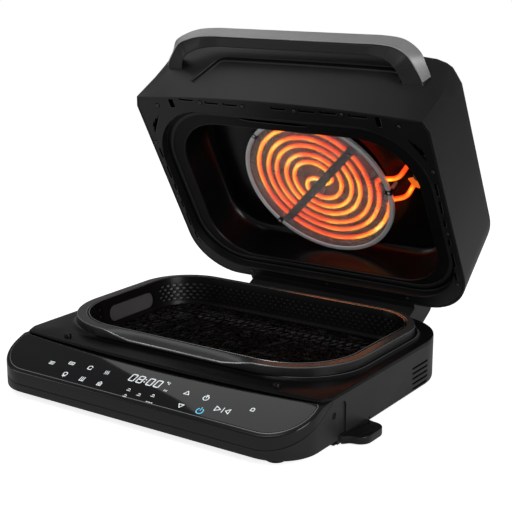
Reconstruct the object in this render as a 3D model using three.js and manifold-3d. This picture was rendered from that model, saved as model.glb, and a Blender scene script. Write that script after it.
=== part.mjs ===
// Table-top air fryer grill with a hinged lid, shown open.
// Lengths are millimetres, +Z is up, the front is -Y.
// Z = 0 is the table, and Y = 0 is where the deck's clipped front corners start.
// Lid pieces are drawn with the lid closed, then the lid group is turned open about the hinge axis.
import * as THREE from 'three';
import { mergeVertices } from 'three/addons/utils/BufferGeometryUtils.js';
import Module from 'manifold-3d';

const wasm = await Module();
wasm.setup();

// Materials, one for each kind of surface.
const paint = (color, roughness, metalness) => (
  new THREE.MeshStandardMaterial({ color, roughness, metalness })
);
const satinBlack = paint(0x1b1b1c, 0.45, 0);
const glossBlack = paint(0x0d0d0e, 0.15, 0);
const panelGlass = paint(0x121214, 0.08, 0);
const darkCoat = paint(0x19191a, 0.5, 0.1);
const potCoat = paint(0x3a3a3c, 0.4, 0.2);
const brightSteel = paint(0x8d8f92, 0.35, 1);
const blackSteel = paint(0x2b2b2c, 0.45, 0.8);
const hotCoil = paint(0xff5a12, 0.6, 0.3);
const silicone = paint(0x4a4a4b, 0.8, 0);
const boardGreen = paint(0x1f5a38, 0.6, 0);
const ceramic = paint(0xd9d4c8, 0.6, 0);
const rubberBlack = paint(0x141414, 0.9, 0);

const group = new THREE.Group();
const lid = new THREE.Group();

// Clearances: fit is between neighbouring pieces, run is between pieces that slide or turn past each other,
// pinRun is round the hinge pins and under the drawer. Overshoot lets a cutting body pass what it cuts.
const fit = 0.3;
const run = 0.5;
const pinRun = 0.05;
const overshoot = 5;

function addTo(parent, name, manifold, material) {
  const mesh = manifold.getMesh();
  const geometry = new THREE.BufferGeometry();
  geometry.setAttribute('position', new THREE.BufferAttribute(mesh.vertProperties, mesh.numProp));
  geometry.setIndex(new THREE.BufferAttribute(mesh.triVerts, 1));
  geometry.computeVertexNormals();
  const piece = new THREE.Mesh(geometry, material);
  piece.name = name;
  parent.add(piece);
}

function solid(geometry) {
  const plain = geometry.clone();
  plain.deleteAttribute('normal');
  plain.deleteAttribute('uv');
  const merged = mergeVertices(plain);
  return new wasm.Manifold(new wasm.Mesh({
    numProp: 3,
    vertProperties: new Float32Array(merged.attributes.position.array),
    triVerts: new Uint32Array(merged.index.array),
  }));
}

// Triangles that fill one ring, turned the same way as the ring runs.
function capOf(ring) {
  const spread = [0, 1, 2].map((axis) => {
    const values = ring.map((point) => point[axis]);
    return Math.max(...values) - Math.min(...values);
  });
  const [u, v] = [0, 1, 2].filter((axis) => axis !== spread.indexOf(Math.min(...spread)));
  const flat = ring.map((point) => new THREE.Vector2(point[u], point[v]));
  const way = Math.sign(THREE.ShapeUtils.area(flat));
  return THREE.ShapeUtils.triangulateShape(flat, []).map(([a, b, c]) => (
    Math.sign(THREE.ShapeUtils.area([flat[a], flat[b], flat[c]])) === way ? [a, b, c] : [a, c, b]
  ));
}

// A closed solid through rings of equal point counts. Open stacks are capped, looped ones join up.
function ringSolid(rings, looped = false) {
  const count = rings[0].length;
  const positions = rings.flat(2);
  const faces = [];
  const spans = looped ? rings.length : rings.length - 1;
  for (let r = 0; r < spans; r += 1) {
    const low = r * count;
    const high = ((r + 1) % rings.length) * count;
    for (let i = 0; i < count; i += 1) {
      const j = (i + 1) % count;
      faces.push(low + i, low + j, high + j, low + i, high + j, high + i);
    }
  }
  if (!looped) {
    const last = (rings.length - 1) * count;
    capOf(rings[0]).forEach(([a, b, c]) => faces.push(a, c, b));
    capOf(rings[rings.length - 1]).forEach(([a, b, c]) => faces.push(last + a, last + b, last + c));
  }
  let volume = 0;
  const at = (k) => new THREE.Vector3(...positions.slice(3 * k, 3 * k + 3));
  for (let f = 0; f < faces.length; f += 3) {
    volume += at(faces[f]).dot(at(faces[f + 1]).cross(at(faces[f + 2])));
  }
  if (volume < 0) faces.reverse();
  const geometry = new THREE.BufferGeometry();
  geometry.setAttribute('position', new THREE.Float32BufferAttribute(positions, 3));
  geometry.setIndex(faces);
  return solid(geometry);
}

const atHeight = (outline, z) => outline.map(([x, y]) => [x, y, z]);
const prism = (outline, z0, z1) => ringSolid([atHeight(outline, z0), atHeight(outline, z1)]);
const extruded = (outlines, z0, z1) => wasm.Manifold
  .extrude(new wasm.CrossSection(outlines, 'NonZero'), z1 - z0).translate([0, 0, z0]);

// A block of constant section along X, from a list of [y, z] points.
const slab = (profile, x0, x1) => ringSolid([
  profile.map(([y, z]) => [x0, y, z]),
  profile.map(([y, z]) => [x1, y, z]),
]);

const box = (x0, x1, y0, y1, z0, z1) => prism([[x0, y0], [x1, y0], [x1, y1], [x0, y1]], z0, z1);

// A box given for the right side, built on the right or, with side -1, on the left.
const sideBox = (side, x0, x1, ...rest) => box(
  Math.min(side * x0, side * x1), Math.max(side * x0, side * x1), ...rest,
);

function circle(cx, cy, radius, sides) {
  return Array.from({ length: sides }, (_, i) => {
    const turn = (2 * Math.PI * i) / sides;
    return [cx + radius * Math.cos(turn), cy + radius * Math.sin(turn)];
  });
}

const disc = (cx, cy, radius, z0, z1, sides = 32) => prism(circle(cx, cy, radius, sides), z0, z1);
const rod = (cy, cz, radius, x0, x1, sides = 20) => slab(
  circle(cy, cz, radius, sides), Math.min(x0, x1), Math.max(x0, x1),
);

const quarter = Math.PI / 2;
const cornerSteps = 7;

// Points of a corner arc, from one heading to the next.
function arc(cx, cy, radius, fromTurn, toTurn, steps = cornerSteps) {
  return Array.from({ length: steps + 1 }, (_, i) => {
    const turn = fromTurn + ((toTurn - fromTurn) * i) / steps;
    return [cx + radius * Math.cos(turn), cy + radius * Math.sin(turn)];
  });
}

// A rounded rectangle in plan, from front right round to front left.
function plan({ half, front, rear, frontRadius, rearRadius }, grow = 0) {
  const fr = frontRadius + grow;
  const rr = rearRadius + grow;
  const x = half + grow;
  return [
    ...arc(x - fr, front - grow + fr, fr, -quarter, 0),
    ...arc(x - rr, rear + grow - rr, rr, 0, quarter),
    ...arc(rr - x, rear + grow - rr, rr, quarter, 2 * quarter),
    ...arc(fr - x, front - grow + fr, fr, 2 * quarter, 3 * quarter),
  ];
}

// A plan that lies inside another one, by a distance for each edge and each pair of corner radii.
const inside = (outer, by) => ({
  half: outer.half - by.side,
  front: outer.front + by.front,
  rear: outer.rear - by.rear,
  frontRadius: outer.frontRadius - by.frontRadius,
  rearRadius: outer.rearRadius - by.rearRadius,
});

// Whether a point lies inside a plan.
function holds({ half, front, rear, frontRadius, rearRadius }, [x, y], grow = 0) {
  const radius = (y < (front + rear) / 2 ? frontRadius : rearRadius) + grow;
  const alongX = Math.abs(x) - (half + grow - radius);
  const alongY = Math.max(front - grow + radius - y, y - (rear + grow - radius));
  if (alongX > 0 && alongY > 0) return Math.hypot(alongX, alongY) < radius;
  return alongX < radius && alongY < radius;
}

// Moves every edge of an outline inwards, keeping its point count.
function inset(outline, distance) {
  const count = outline.length;
  const normals = outline.map(([x, y], i) => {
    const [nx, ny] = outline[(i + 1) % count];
    return new THREE.Vector2(y - ny, nx - x).normalize();
  });
  return outline.map(([x, y], i) => {
    const before = normals[(i + count - 1) % count];
    const after = normals[i];
    const reach = distance / (1 + before.dot(after));
    return [x + (before.x + after.x) * reach, y + (before.y + after.y) * reach];
  });
}

const blend = (from, to, share) => from.map(([x, y], i) => [
  x + (to[i][0] - x) * share,
  y + (to[i][1] - y) * share,
]);

// The base: its wall stands on the table on four feet, and every other plan is set in from it.
const body = {
  half: 210, front: -75, rear: 288, frontRadius: 47, rearRadius: 76, bottom: 8.2, wall: 3, height: 48.3,
};
const bodyPlan = plan(body);
const bodyTop = body.bottom + body.height;

// The deck on top, with a bowed front edge and short corner facets that the lid repeats.
const deck = { thick: 4, facetIn: 6.1, crease: 14.8, bow: 8.7, frontRadius: 96 };
const deckTop = bodyTop + deck.thick;
const creaseX = body.half - deck.facetIn;
const middleShares = [-0.392, 0, 0.392];
const endShares = [0.809, 0.883, 0.947, 1];
const stationShares = [...[...endShares].reverse().map((share) => -share), ...middleShares, ...endShares];
const stations = stationShares.map((share) => share * creaseX);
const bowY = (x) => -deck.crease - deck.bow * (1 - (x / creaseX) ** 2);
const bowedOutline = (half, rear, radius) => [
  ...stations.map((x) => [x, bowY(x)]),
  [half, 0],
  ...arc(half - radius, rear - radius, radius, 0, quarter),
  ...arc(radius - half, rear - radius, radius, quarter, 2 * quarter),
  [-half, 0],
];

// The raised collar round the well has a hollow outer slope, drawn here by its breadth and rise.
const deckPlan = {
  half: body.half, front: 0, rear: body.rear, frontRadius: deck.frontRadius, rearRadius: body.rearRadius,
};
const collarIn = { side: 12, front: 8, rear: 20, frontRadius: 12, rearRadius: 4 };
const wellIn = { side: 8, front: 3.8, rear: 7.5, frontRadius: 0, rearRadius: 8 };
const collar = inside(deckPlan, collarIn);
const well = inside(collar, wellIn);
const sweep = { breadth: 6, rise: 4 };
const sweepShares = [[1, 0], [0.4, 0.3], [0.1, 0.675], [0, 1]];
const collarTop = deckTop + sweep.rise;
let deckPlate = prism(bowedOutline(body.half, body.rear, body.rearRadius), bodyTop, deckTop);
deckPlate = deckPlate.add(ringSolid([
  atHeight(plan(collar, sweep.breadth), bodyTop),
  ...sweepShares.map(([out, up]) => atHeight(plan(collar, out * sweep.breadth), deckTop + up * sweep.rise)),
]));
deckPlate = deckPlate.subtract(prism(plan(well), bodyTop - overshoot, collarTop + overshoot));
addTo(group, 'deck_plate', deckPlate, darkCoat);

// Two pins on the deck find the slots in the lid's rim.
const locator = { sideIn: 63, crease: 5.8, radius: 3.6, tip: 2.4, shoulder: 2.8, height: 4.2 };
const locatorX = body.half - locator.sideIn;
const locatorY = locator.crease - deck.crease;
for (const [side, word] of [[-1, 'left'], [1, 'right']]) {
  const ring = (radius, z) => atHeight(circle(side * locatorX, locatorY, radius, 16), z);
  addTo(group, `locating_pin_${word}`, ringSolid([
    ring(locator.radius, deckTop),
    ring(locator.radius, deckTop + locator.shoulder),
    ring(locator.tip, deckTop + locator.height),
  ]), satinBlack);
}

// The panel: its frame starts above a parting line, and the glass lies on a plane that slopes to the front.
const panel = { partingUp: 9.4, partingGap: 2.9, edgeUp: 15.9, rearDrop: 2 };
const partingFrontZ = body.bottom + panel.partingUp;
const partingRise = (bodyTop - panel.partingGap - partingFrontZ) / -body.front;
const partingZ = (y) => partingFrontZ + (y - body.front) * partingRise;
const glassRear = { y: -deck.crease - deck.bow, z: bodyTop - panel.rearDrop };
const slope = (glassRear.z - partingFrontZ - panel.edgeUp) / (glassRear.y - body.front);
const slopeZ = (y) => glassRear.z + (y - glassRear.y) * slope;
const slopeTopY = glassRear.y + panel.rearDrop / slope;
const aheadY = body.front - overshoot;
const acrossX = body.half + overshoot;

// The body wall, cut at the front along the parting line.
let housing = prism(bodyPlan, body.bottom, bodyTop);
housing = housing.subtract(prism(inset(bodyPlan, body.wall), body.bottom - overshoot, bodyTop + overshoot));
housing = housing.subtract(slab([
  [aheadY, partingZ(aheadY) - fit],
  [fit, partingZ(0) - fit],
  [fit, bodyTop + overshoot],
  [aheadY, bodyTop + overshoot],
], -acrossX, acrossX));

// Side wall details: a shallow upright channel, cooling slots, the probe socket and the drawer's notch.
const channel = { y0: 12, y1: 27, topDown: 7, depth: 1.4 };
housing = housing.subtract(box(
  body.half - channel.depth, acrossX, channel.y0, channel.y1,
  body.bottom - overshoot, bodyTop - channel.topDown,
));
const vent = { rearIn: 72, span: 39, topDown: 18, lowUp: 2.9, pitch: 6.2, height: 2.6 };
const ventTop = bodyTop - vent.topDown;
const ventRows = Math.round((ventTop - vent.height - body.bottom - vent.lowUp) / vent.pitch) + 1;
const ventRear = body.rear - vent.rearIn;
for (let row = 0; row < ventRows; row += 1) {
  const top = ventTop - row * vent.pitch;
  for (const side of [-1, 1]) {
    housing = housing.subtract(sideBox(
      side, body.half - 2 * body.wall, acrossX, ventRear - vent.span, ventRear, top - vent.height, top,
    ));
  }
}
const socket = { y: 2.5, topDown: 17.8, radius: 3.4, bore: 1.6, depth: 15, boreDepth: 11, lip: 5.4 };
const socketZ = bodyTop - socket.topDown;
const socketInner = body.half - socket.depth;
housing = housing.subtract(rod(socket.y, socketZ, socket.radius + fit, socketInner, acrossX));
const drawer = { y0: 11.5, y1: 78.5, down: 4.8, up: 4.4, wall: 1.6, depth: 105.6, back: 0.4 };
const drawerFront = body.half - drawer.back;
const drawerInner = drawerFront - drawer.depth;
const drawerLow = body.bottom - drawer.down;
const drawerTop = body.bottom + drawer.up;
housing = housing.subtract(box(
  body.half - 2 * body.wall, acrossX, drawer.y0 - run, drawer.y1 + run,
  body.bottom - overshoot, drawerTop + run,
));
const gland = {
  rearIn: 92, up: 17.8, radius: 6.5, bore: 3.5, outer: 6, inner: 9, collar: 9, collarThick: 2,
};
const glandY = body.rear - gland.rearIn;
const glandZ = body.bottom + gland.up;
housing = housing.subtract(rod(glandY, glandZ, gland.radius + fit, -acrossX, 2 * body.wall - body.half));
addTo(group, 'base_housing', housing, satinBlack);

// The sloping panel frame with a pocket for the glass and a window for the display behind it.
const glass = { margin: 4, thick: 3, rearGap: 3.6, sideCut: 5 };
const glassHalf = body.half - glass.margin;
const glassRadius = body.frontRadius - glass.margin;
const glassCornerY = body.front + body.frontRadius;
const glassRearShare = 1 - glass.rearGap / glassHalf;
const glassOutline = [
  ...arc(glassHalf - glassRadius, glassCornerY, glassRadius, -quarter, 0),
  [glassHalf, -deck.crease - glass.sideCut],
  ...[...stations].reverse().map((x) => [x * glassRearShare, bowY(x) - glass.rearGap]),
  [-glassHalf, -deck.crease - glass.sideCut],
  ...arc(glassRadius - glassHalf, glassCornerY, glassRadius, 2 * quarter, 3 * quarter),
];
// A slab that follows the glass plane, between two depths below it.
const underGlass = (y0, y1, from, to, x0, x1) => slab([
  [y0, slopeZ(y0) - to],
  [y1, slopeZ(y1) - to],
  [y1, slopeZ(y1) - from],
  [y0, slopeZ(y0) - from],
], x0, x1);
let frame = prism(bodyPlan, body.bottom, bodyTop).intersect(slab([
  [aheadY, partingZ(aheadY)],
  [0, partingZ(0)],
  [0, bodyTop],
  [slopeTopY, bodyTop],
  [aheadY, slopeZ(aheadY)],
], -acrossX, acrossX));
frame = frame.subtract(prism(inset(glassOutline, -fit), body.bottom, deckTop + overshoot).intersect(
  underGlass(aheadY, 0, slopeZ(aheadY) - deckTop, glass.thick + fit, -acrossX, acrossX),
));
const window = { sideIn: 24, frontIn: 12, rearIn: 12.5 };
frame = frame.subtract(box(
  window.sideIn - body.half, body.half - window.sideIn,
  body.front + window.frontIn, glassRear.y - window.rearIn, body.bottom, deckTop,
));
addTo(group, 'panel_frame', frame, glossBlack);
addTo(group, 'control_glass', prism(glassOutline, body.bottom, deckTop + overshoot).intersect(
  underGlass(aheadY, 0, 0, glass.thick, -acrossX, acrossX),
), panelGlass);

// Electronics behind the glass: the display stands on the control board.
const board = { sideIn: 60, frontIn: 13, rearIn: 13.5, thick: 1.6 };
const boardHalf = body.half - board.sideIn;
const boardRear = glassRear.y - board.rearIn;
const display = { half: 30, depth: 14, thick: 4.4 };
const displayDepth = glass.thick + fit + display.thick;
addTo(group, 'display_module', underGlass(
  boardRear - display.depth, boardRear, glass.thick + fit, displayDepth, -display.half, display.half,
), glossBlack);
addTo(group, 'control_board', underGlass(
  body.front + board.frontIn, boardRear, displayDepth, displayDepth + board.thick, -boardHalf, boardHalf,
), boardGreen);

// The bottom plate closes the body and carries the feet. The drawer's bay is let into it.
const plate = { thick: 3 };
const plateTop = body.bottom + plate.thick;
const bay = { wall: 1.2, gap: 0.6, flange: 4, headroom: 0.8, rear: 1.5, mouthIn: 4 };
const bayMouth = body.half - bay.mouthIn;
const bayTop = drawerTop + bay.headroom;
const bayFloor = drawerLow - pinRun;
const bayIn = { x0: drawerInner - bay.rear, y0: drawer.y0 - bay.gap, y1: drawer.y1 + bay.gap };
const bayOut = { x0: bayIn.x0 - bay.wall, y0: bayIn.y0 - bay.wall, y1: bayIn.y1 + bay.wall };
addTo(group, 'bottom_plate', prism(inset(bodyPlan, body.wall + fit), body.bottom, plateTop).subtract(box(
  bayOut.x0 - fit, acrossX, bayOut.y0 - fit, bayOut.y1 + fit, body.bottom - overshoot, plateTop + overshoot,
)), satinBlack);
let bayShell = box(bayOut.x0, bayMouth, bayOut.y0, bayOut.y1, bayFloor - bay.wall, bayTop + bay.wall);
bayShell = bayShell.add(box(
  bayOut.x0 - bay.flange, bayMouth, bayOut.y0 - bay.flange, bayOut.y1 + bay.flange,
  plateTop, plateTop + bay.wall,
));
addTo(group, 'drawer_bay', bayShell.subtract(box(
  bayIn.x0, bayMouth + overshoot, bayIn.y0, bayIn.y1, bayFloor, bayTop,
)), satinBlack);

// Four feet under the bottom plate.
const foot = { sideIn: 38, frontIn: 27, rearIn: 56, radius: 11, topRadius: 9.5 };
for (const [side, word] of [[-1, 'left'], [1, 'right']]) {
  for (const [y, place] of [[body.front + foot.frontIn, 'front'], [body.rear - foot.rearIn, 'rear']]) {
    const x = side * (body.half - foot.sideIn);
    addTo(group, `foot_${place}_${word}`, ringSolid([
      atHeight(circle(x, y, foot.radius, 20), 0),
      atHeight(circle(x, y, foot.topRadius, 20), body.bottom),
    ]), rubberBlack);
  }
}

// The power board with its relay and capacitor blocks, on spacers above the bottom plate.
// Each block is given by its left, right, front and rear edges as shares of the board.
const power = {
  leftIn: 75, rightIn: 170, frontIn: 17, depth: 46, up: 1.8, thick: 1.6, tall: 7, spacer: 2, spacerIn: 5,
};
const powerX0 = power.leftIn - body.half;
const powerX1 = body.half - power.rightIn;
const powerY0 = body.front + power.frontIn;
const powerLow = plateTop + power.up;
const powerTop = powerLow + power.thick;
const blockShares = [
  [0.09, 0.25, 0.17, 0.61],
  [0.33, 0.5, 0.26, 0.7],
  [0.6, 0.7, 0.3, 0.74],
  [0.79, 0.92, 0.17, 0.65],
];
const onBoard = (alongShare, deepShare) => [
  powerX0 + alongShare * (powerX1 - powerX0),
  powerY0 + deepShare * power.depth,
];
let powerBoard = box(powerX0, powerX1, powerY0, powerY0 + power.depth, powerLow, powerTop);
for (const [left, right, front, rear] of blockShares) {
  const [x0, y0] = onBoard(left, front);
  const [x1, y1] = onBoard(right, rear);
  powerBoard = powerBoard.add(box(x0, x1, y0, y1, powerTop, powerTop + power.tall));
}
for (const x of [powerX0 + power.spacerIn, powerX1 - power.spacerIn]) {
  for (const y of [powerY0 + power.spacerIn, powerY0 + power.depth - power.spacerIn]) {
    powerBoard = powerBoard.add(disc(x, y, power.spacer, plateTop, powerTop, 12));
  }
}
addTo(group, 'power_board', powerBoard, boardGreen);

// The probe's socket in the right wall and the cord's gland in the left wall.
let probeSocket = rod(socket.y, socketZ, socket.radius, socketInner, body.half);
probeSocket = probeSocket.add(rod(socket.y, socketZ, socket.lip, socketInner, body.half - body.wall));
addTo(group, 'probe_socket', probeSocket.subtract(
  rod(socket.y, socketZ, socket.bore, body.half - socket.boreDepth, acrossX, 12),
), brightSteel);
let glandBody = rod(glandY, glandZ, gland.radius, -body.half - gland.outer, gland.inner - body.half);
glandBody = glandBody.add(rod(glandY, glandZ, gland.collar, -body.half - gland.collarThick, -body.half));
addTo(group, 'cord_gland', glandBody.subtract(rod(
  glandY, glandZ, gland.bore, -body.half - gland.outer - overshoot, gland.inner - body.half + overshoot, 16,
)), rubberBlack);

// The well is lined by a sheet wall that hangs from the deck plate and stands on a flat floor sheet.
const liner = { gap: 0.8, sheet: 1.2, flange: 8, up: 5 };
const linerFloor = plateTop + liner.up;
const linerOuter = plan(well, liner.gap + liner.sheet);
addTo(group, 'well_liner', prism(linerOuter, linerFloor, bodyTop)
  .add(prism(plan(well, liner.gap + liner.flange), bodyTop - liner.sheet, bodyTop))
  .subtract(prism(plan(well, liner.gap), linerFloor - overshoot, bodyTop + overshoot)), blackSteel);
addTo(group, 'well_floor', prism(linerOuter, linerFloor - liner.sheet, linerFloor), blackSteel);

// The cooking pot: rim, skirt, wall and floor in one shell. The front of its rim dips to a pouring lip.
const pot = {
  up: 10.5, sheet: 1.6, floorGap: 1.3, taper: 6, cornerRise: 12, cornerIn: 7,
  lipDrop: 8, lipIn: 77, lipFade: 24,
};
const potRimIn = { side: 3, front: -3.5, rear: 6, frontRadius: -6, rearRadius: 4 };
const bowlIn = { side: 11, front: 12.1, rear: 5.5, frontRadius: 10, rearRadius: 9 };
const potRim = inside(collar, potRimIn);
const potIn = inside(potRim, bowlIn);
const potTop = collarTop + pot.up;
const potFloor = linerFloor + pot.floorGap + pot.sheet;
const lipHalf = potRim.half - pot.lipIn;
const lipShares = [-0.99, -0.823, -0.412, 0, 0.412, 0.823, 0.99];
// Extra points along the straight front give the lip its shape. Its drop fades out towards the corners.
const fronted = (outline) => {
  const [straightHalf, y] = outline[0];
  return [...outline, ...lipShares.map((share) => [share * straightHalf, y])];
};
const lipped = (grow, z) => fronted(plan(potRim, grow)).map(([x, y]) => {
  const away = Math.max(0, Math.abs(x) - lipHalf) / pot.lipFade;
  const share = y < potRim.front + pot.lipDrop ? Math.max(0, 1 - away) : 0;
  return [x, y, z - pot.lipDrop * share];
});
const bowl = (grow, z) => atHeight(fronted(plan(potIn, grow)), z);
const skirt = (grow, z) => atHeight(fronted(plan(potRim, grow)), z);
addTo(group, 'cooking_pot', ringSolid([
  bowl(-pot.taper - pot.cornerIn, potFloor),
  bowl(-pot.taper, potFloor + pot.cornerRise),
  bowl(0, potTop),
  lipped(-pot.sheet / 2, potTop),
  lipped(0, potTop - pot.sheet / 2),
  skirt(0, collarTop),
  skirt(-pot.sheet, collarTop),
  lipped(-pot.sheet, potTop - pot.sheet),
  bowl(pot.sheet, potTop - pot.sheet),
  bowl(pot.sheet - pot.taper, potFloor + pot.cornerRise),
  bowl(pot.sheet - pot.taper - pot.cornerIn, potFloor - pot.sheet),
]), potCoat);

// The crisper basket: a tapered wall with a slot in each side, a punched floor on the wall's ledge,
// and four feet under the floor.
const basket = { gap: 1.7, sheet: 1.5, taper: 5, ledge: 4, up: 21.4 };
const basketFloor = potFloor + basket.up;
const basketUnder = basketFloor - basket.sheet;
const basketLow = -basket.gap - basket.taper - basket.sheet;
const basketLowIn = plan(potIn, basketLow);
const basketSeat = plan(potIn, basketLow - basket.ledge);
const finger = { frontIn: 84.4, span: 88, up: 3, topDown: 11.2 };
const fingerHalf = (potTop - finger.topDown - basketFloor - finger.up) / 2;
const fingerZ = basketFloor + finger.up + fingerHalf;
const fingerY0 = potIn.front + finger.frontIn + fingerHalf;
const fingerY1 = potIn.front + finger.frontIn + finger.span - fingerHalf;
addTo(group, 'crisper_basket', ringSolid([
  atHeight(plan(potIn, -basket.gap - basket.taper), basketUnder - basket.sheet),
  atHeight(plan(potIn, -basket.gap), potTop),
  atHeight(plan(potIn, -basket.gap - basket.sheet), potTop),
  atHeight(basketLowIn, basketUnder),
  atHeight(basketSeat, basketUnder),
  atHeight(basketSeat, basketUnder - basket.sheet),
], true).subtract(slab([
  ...arc(fingerY1, fingerZ, fingerHalf, -quarter, quarter),
  ...arc(fingerY0, fingerZ, fingerHalf, quarter, 3 * quarter),
], -acrossX, acrossX)), darkCoat);
const basketFoot = { sideIn: 64, frontIn: 53.4, rearIn: 56.5, radius: 6 };
const basketFootX = potIn.half - basketFoot.sideIn;
const basketFeet = [['front', potIn.front + basketFoot.frontIn], ['rear', potIn.rear - basketFoot.rearIn]];
const hole = { radius: 7, pitchX: 25, pitchY: 23, margin: 18 };
const floorMidY = (potIn.front + potIn.rear) / 2;
const floorReach = basketLow - hole.margin;
const columnsOut = Math.floor((potIn.half + floorReach) / hole.pitchX);
const rowsOut = Math.floor((potIn.rear - floorMidY + floorReach) / hole.pitchY);
const holes = [];
for (let row = -rowsOut; row <= rowsOut; row += 1) {
  const shift = row % 2 ? hole.pitchX / 2 : 0;
  for (let column = -columnsOut; column <= columnsOut; column += 1) {
    const x = column * hole.pitchX + shift;
    const y = floorMidY + row * hole.pitchY;
    const overFoot = basketFeet.some(([, footY]) => (
      Math.hypot(Math.abs(x) - basketFootX, y - footY) < basketFoot.radius + hole.radius
    ));
    if (holds(potIn, [x, y], floorReach) && !overFoot) holes.push(circle(x, y, hole.radius, 6));
  }
}
addTo(group, 'basket_floor', prism(inset(basketLowIn, fit), basketUnder, basketFloor).subtract(
  extruded(holes, basketUnder - overshoot, basketFloor + overshoot),
), darkCoat);
for (const [side, word] of [[-1, 'left'], [1, 'right']]) {
  for (const [place, y] of basketFeet) {
    addTo(group, `basket_foot_${place}_${word}`, disc(
      side * basketFootX, y, basketFoot.radius, potFloor, basketUnder, 12,
    ), silicone);
  }
}

// The storage drawer for the probe slides out under the right wall. Its tab shows outside.
const tab = { neck: 6.4, waist: 6, reach: 33.4, sideIn: 0.5, round: 14, down: 2.2, topDown: 2.4 };
const tabY0 = drawer.y0 + tab.sideIn;
const tabY1 = drawer.y1 - tab.sideIn;
const tabArcX = drawerFront + tab.reach - tab.round;
const tabOutline = [
  [drawerFront - drawer.wall / 2, tabY0],
  [drawerFront + tab.neck, tabY0 + tab.waist / 2],
  [drawerFront + tab.neck + tab.waist, tabY0 + tab.waist / 3],
  ...arc(tabArcX, tabY0 + tab.round, tab.round, -quarter, 0),
  ...arc(tabArcX, tabY1 - tab.round, tab.round, 0, quarter),
  [drawerFront + tab.neck + tab.waist, tabY1 - tab.waist / 3],
  [drawerFront + tab.neck, tabY1 - tab.waist / 2],
  [drawerFront - drawer.wall / 2, tabY1],
];
const tray = box(drawerInner, drawerFront, drawer.y0, drawer.y1, drawerLow, drawerTop).subtract(box(
  drawerInner + drawer.wall, drawerFront - drawer.wall, drawer.y0 + drawer.wall, drawer.y1 - drawer.wall,
  drawerLow + drawer.wall, drawerTop + overshoot,
));
addTo(group, 'probe_drawer', tray.add(
  extruded([tabOutline], drawerLow - tab.down, drawerTop - tab.topDown),
), glossBlack);

// Brackets on the rear wall carry the lid's hinge pins, on both sides of the lid's neck.
const hinge = {
  sideIn: 83, behind: 18.5, up: 4.4, pin: 4, gap: 0.6, thick: 6.4, boss: 9.4,
  lowDown: 4.6, topUp: 27.4, reach: 15, head: 6.2, cap: 1.6,
};
const neckHalf = body.half - hinge.sideIn;
const hingeY = body.rear + hinge.behind;
const hingeZ = body.bottom + hinge.up;
const earInner = neckHalf + hinge.gap;
const earOuter = earInner + hinge.thick;
for (const [side, word] of [[-1, 'left'], [1, 'right']]) {
  const ear = slab([
    [body.rear, body.bottom - hinge.lowDown],
    [hingeY, hingeZ - hinge.boss],
    ...arc(hingeY, hingeZ, hinge.boss, -quarter, quarter),
    [body.rear, hingeZ + hinge.topUp],
  ], Math.min(side * earInner, side * earOuter), Math.max(side * earInner, side * earOuter));
  addTo(group, `hinge_bracket_${word}`, ear.subtract(
    rod(hingeY, hingeZ, hinge.pin + pinRun, side * (earInner - overshoot), side * (earOuter + overshoot)),
  ), satinBlack);
  const pin = rod(hingeY, hingeZ, hinge.pin, side * (earInner - hinge.reach), side * earOuter);
  addTo(group, `hinge_pin_${word}`, pin.add(
    rod(hingeY, hingeZ, hinge.head, side * earOuter, side * (earOuter + hinge.cap)),
  ), brightSteel);
}

// The lid's shell: walls that lean in to a rounded top, with a neck at the back round the hinge.
const cover = {
  up: 0.94, height: 100.06, rearIn: 5, rearRadius: 65, wall: 2.6, edge: 12,
  lean: 1.5, rearLean: 24, topRadius: 60, frontLean: 21.2, cornerIn: 38.9, cornerDrop: 21.5,
};
const rimZ = collarTop + cover.up;
const coverTop = rimZ + cover.height;
const coverRear = body.rear - cover.rearIn;
const rimOutline = bowedOutline(body.half, coverRear, cover.rearRadius);
const topHalf = body.half - cover.lean;
const topRear = coverRear - cover.rearLean;
const topFront = -deck.crease - cover.frontLean;
const flatX = creaseX - cover.cornerIn;
const cornerShares = [0, 0.37, 0.71, 1];
const topCorner = cornerShares.map((share) => [
  flatX + cover.cornerIn * Math.sin(share * quarter),
  topFront + cover.cornerDrop * (1 - Math.cos(share * quarter)),
]);
const topOutline = [
  ...[...topCorner].reverse().map(([x, y]) => [-x, y]),
  ...middleShares.map((share) => [share * creaseX, topFront]),
  ...topCorner,
  [topHalf, 0],
  ...arc(topHalf - cover.topRadius, topRear - cover.topRadius, cover.topRadius, 0, quarter),
  ...arc(cover.topRadius - topHalf, topRear - cover.topRadius, cover.topRadius, quarter, 2 * quarter),
  [-topHalf, 0],
];
const coverOutline = (z) => blend(rimOutline, topOutline, (z - rimZ) / cover.height);
const edgeShares = [0, 0.34, 0.67, 1];
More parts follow.
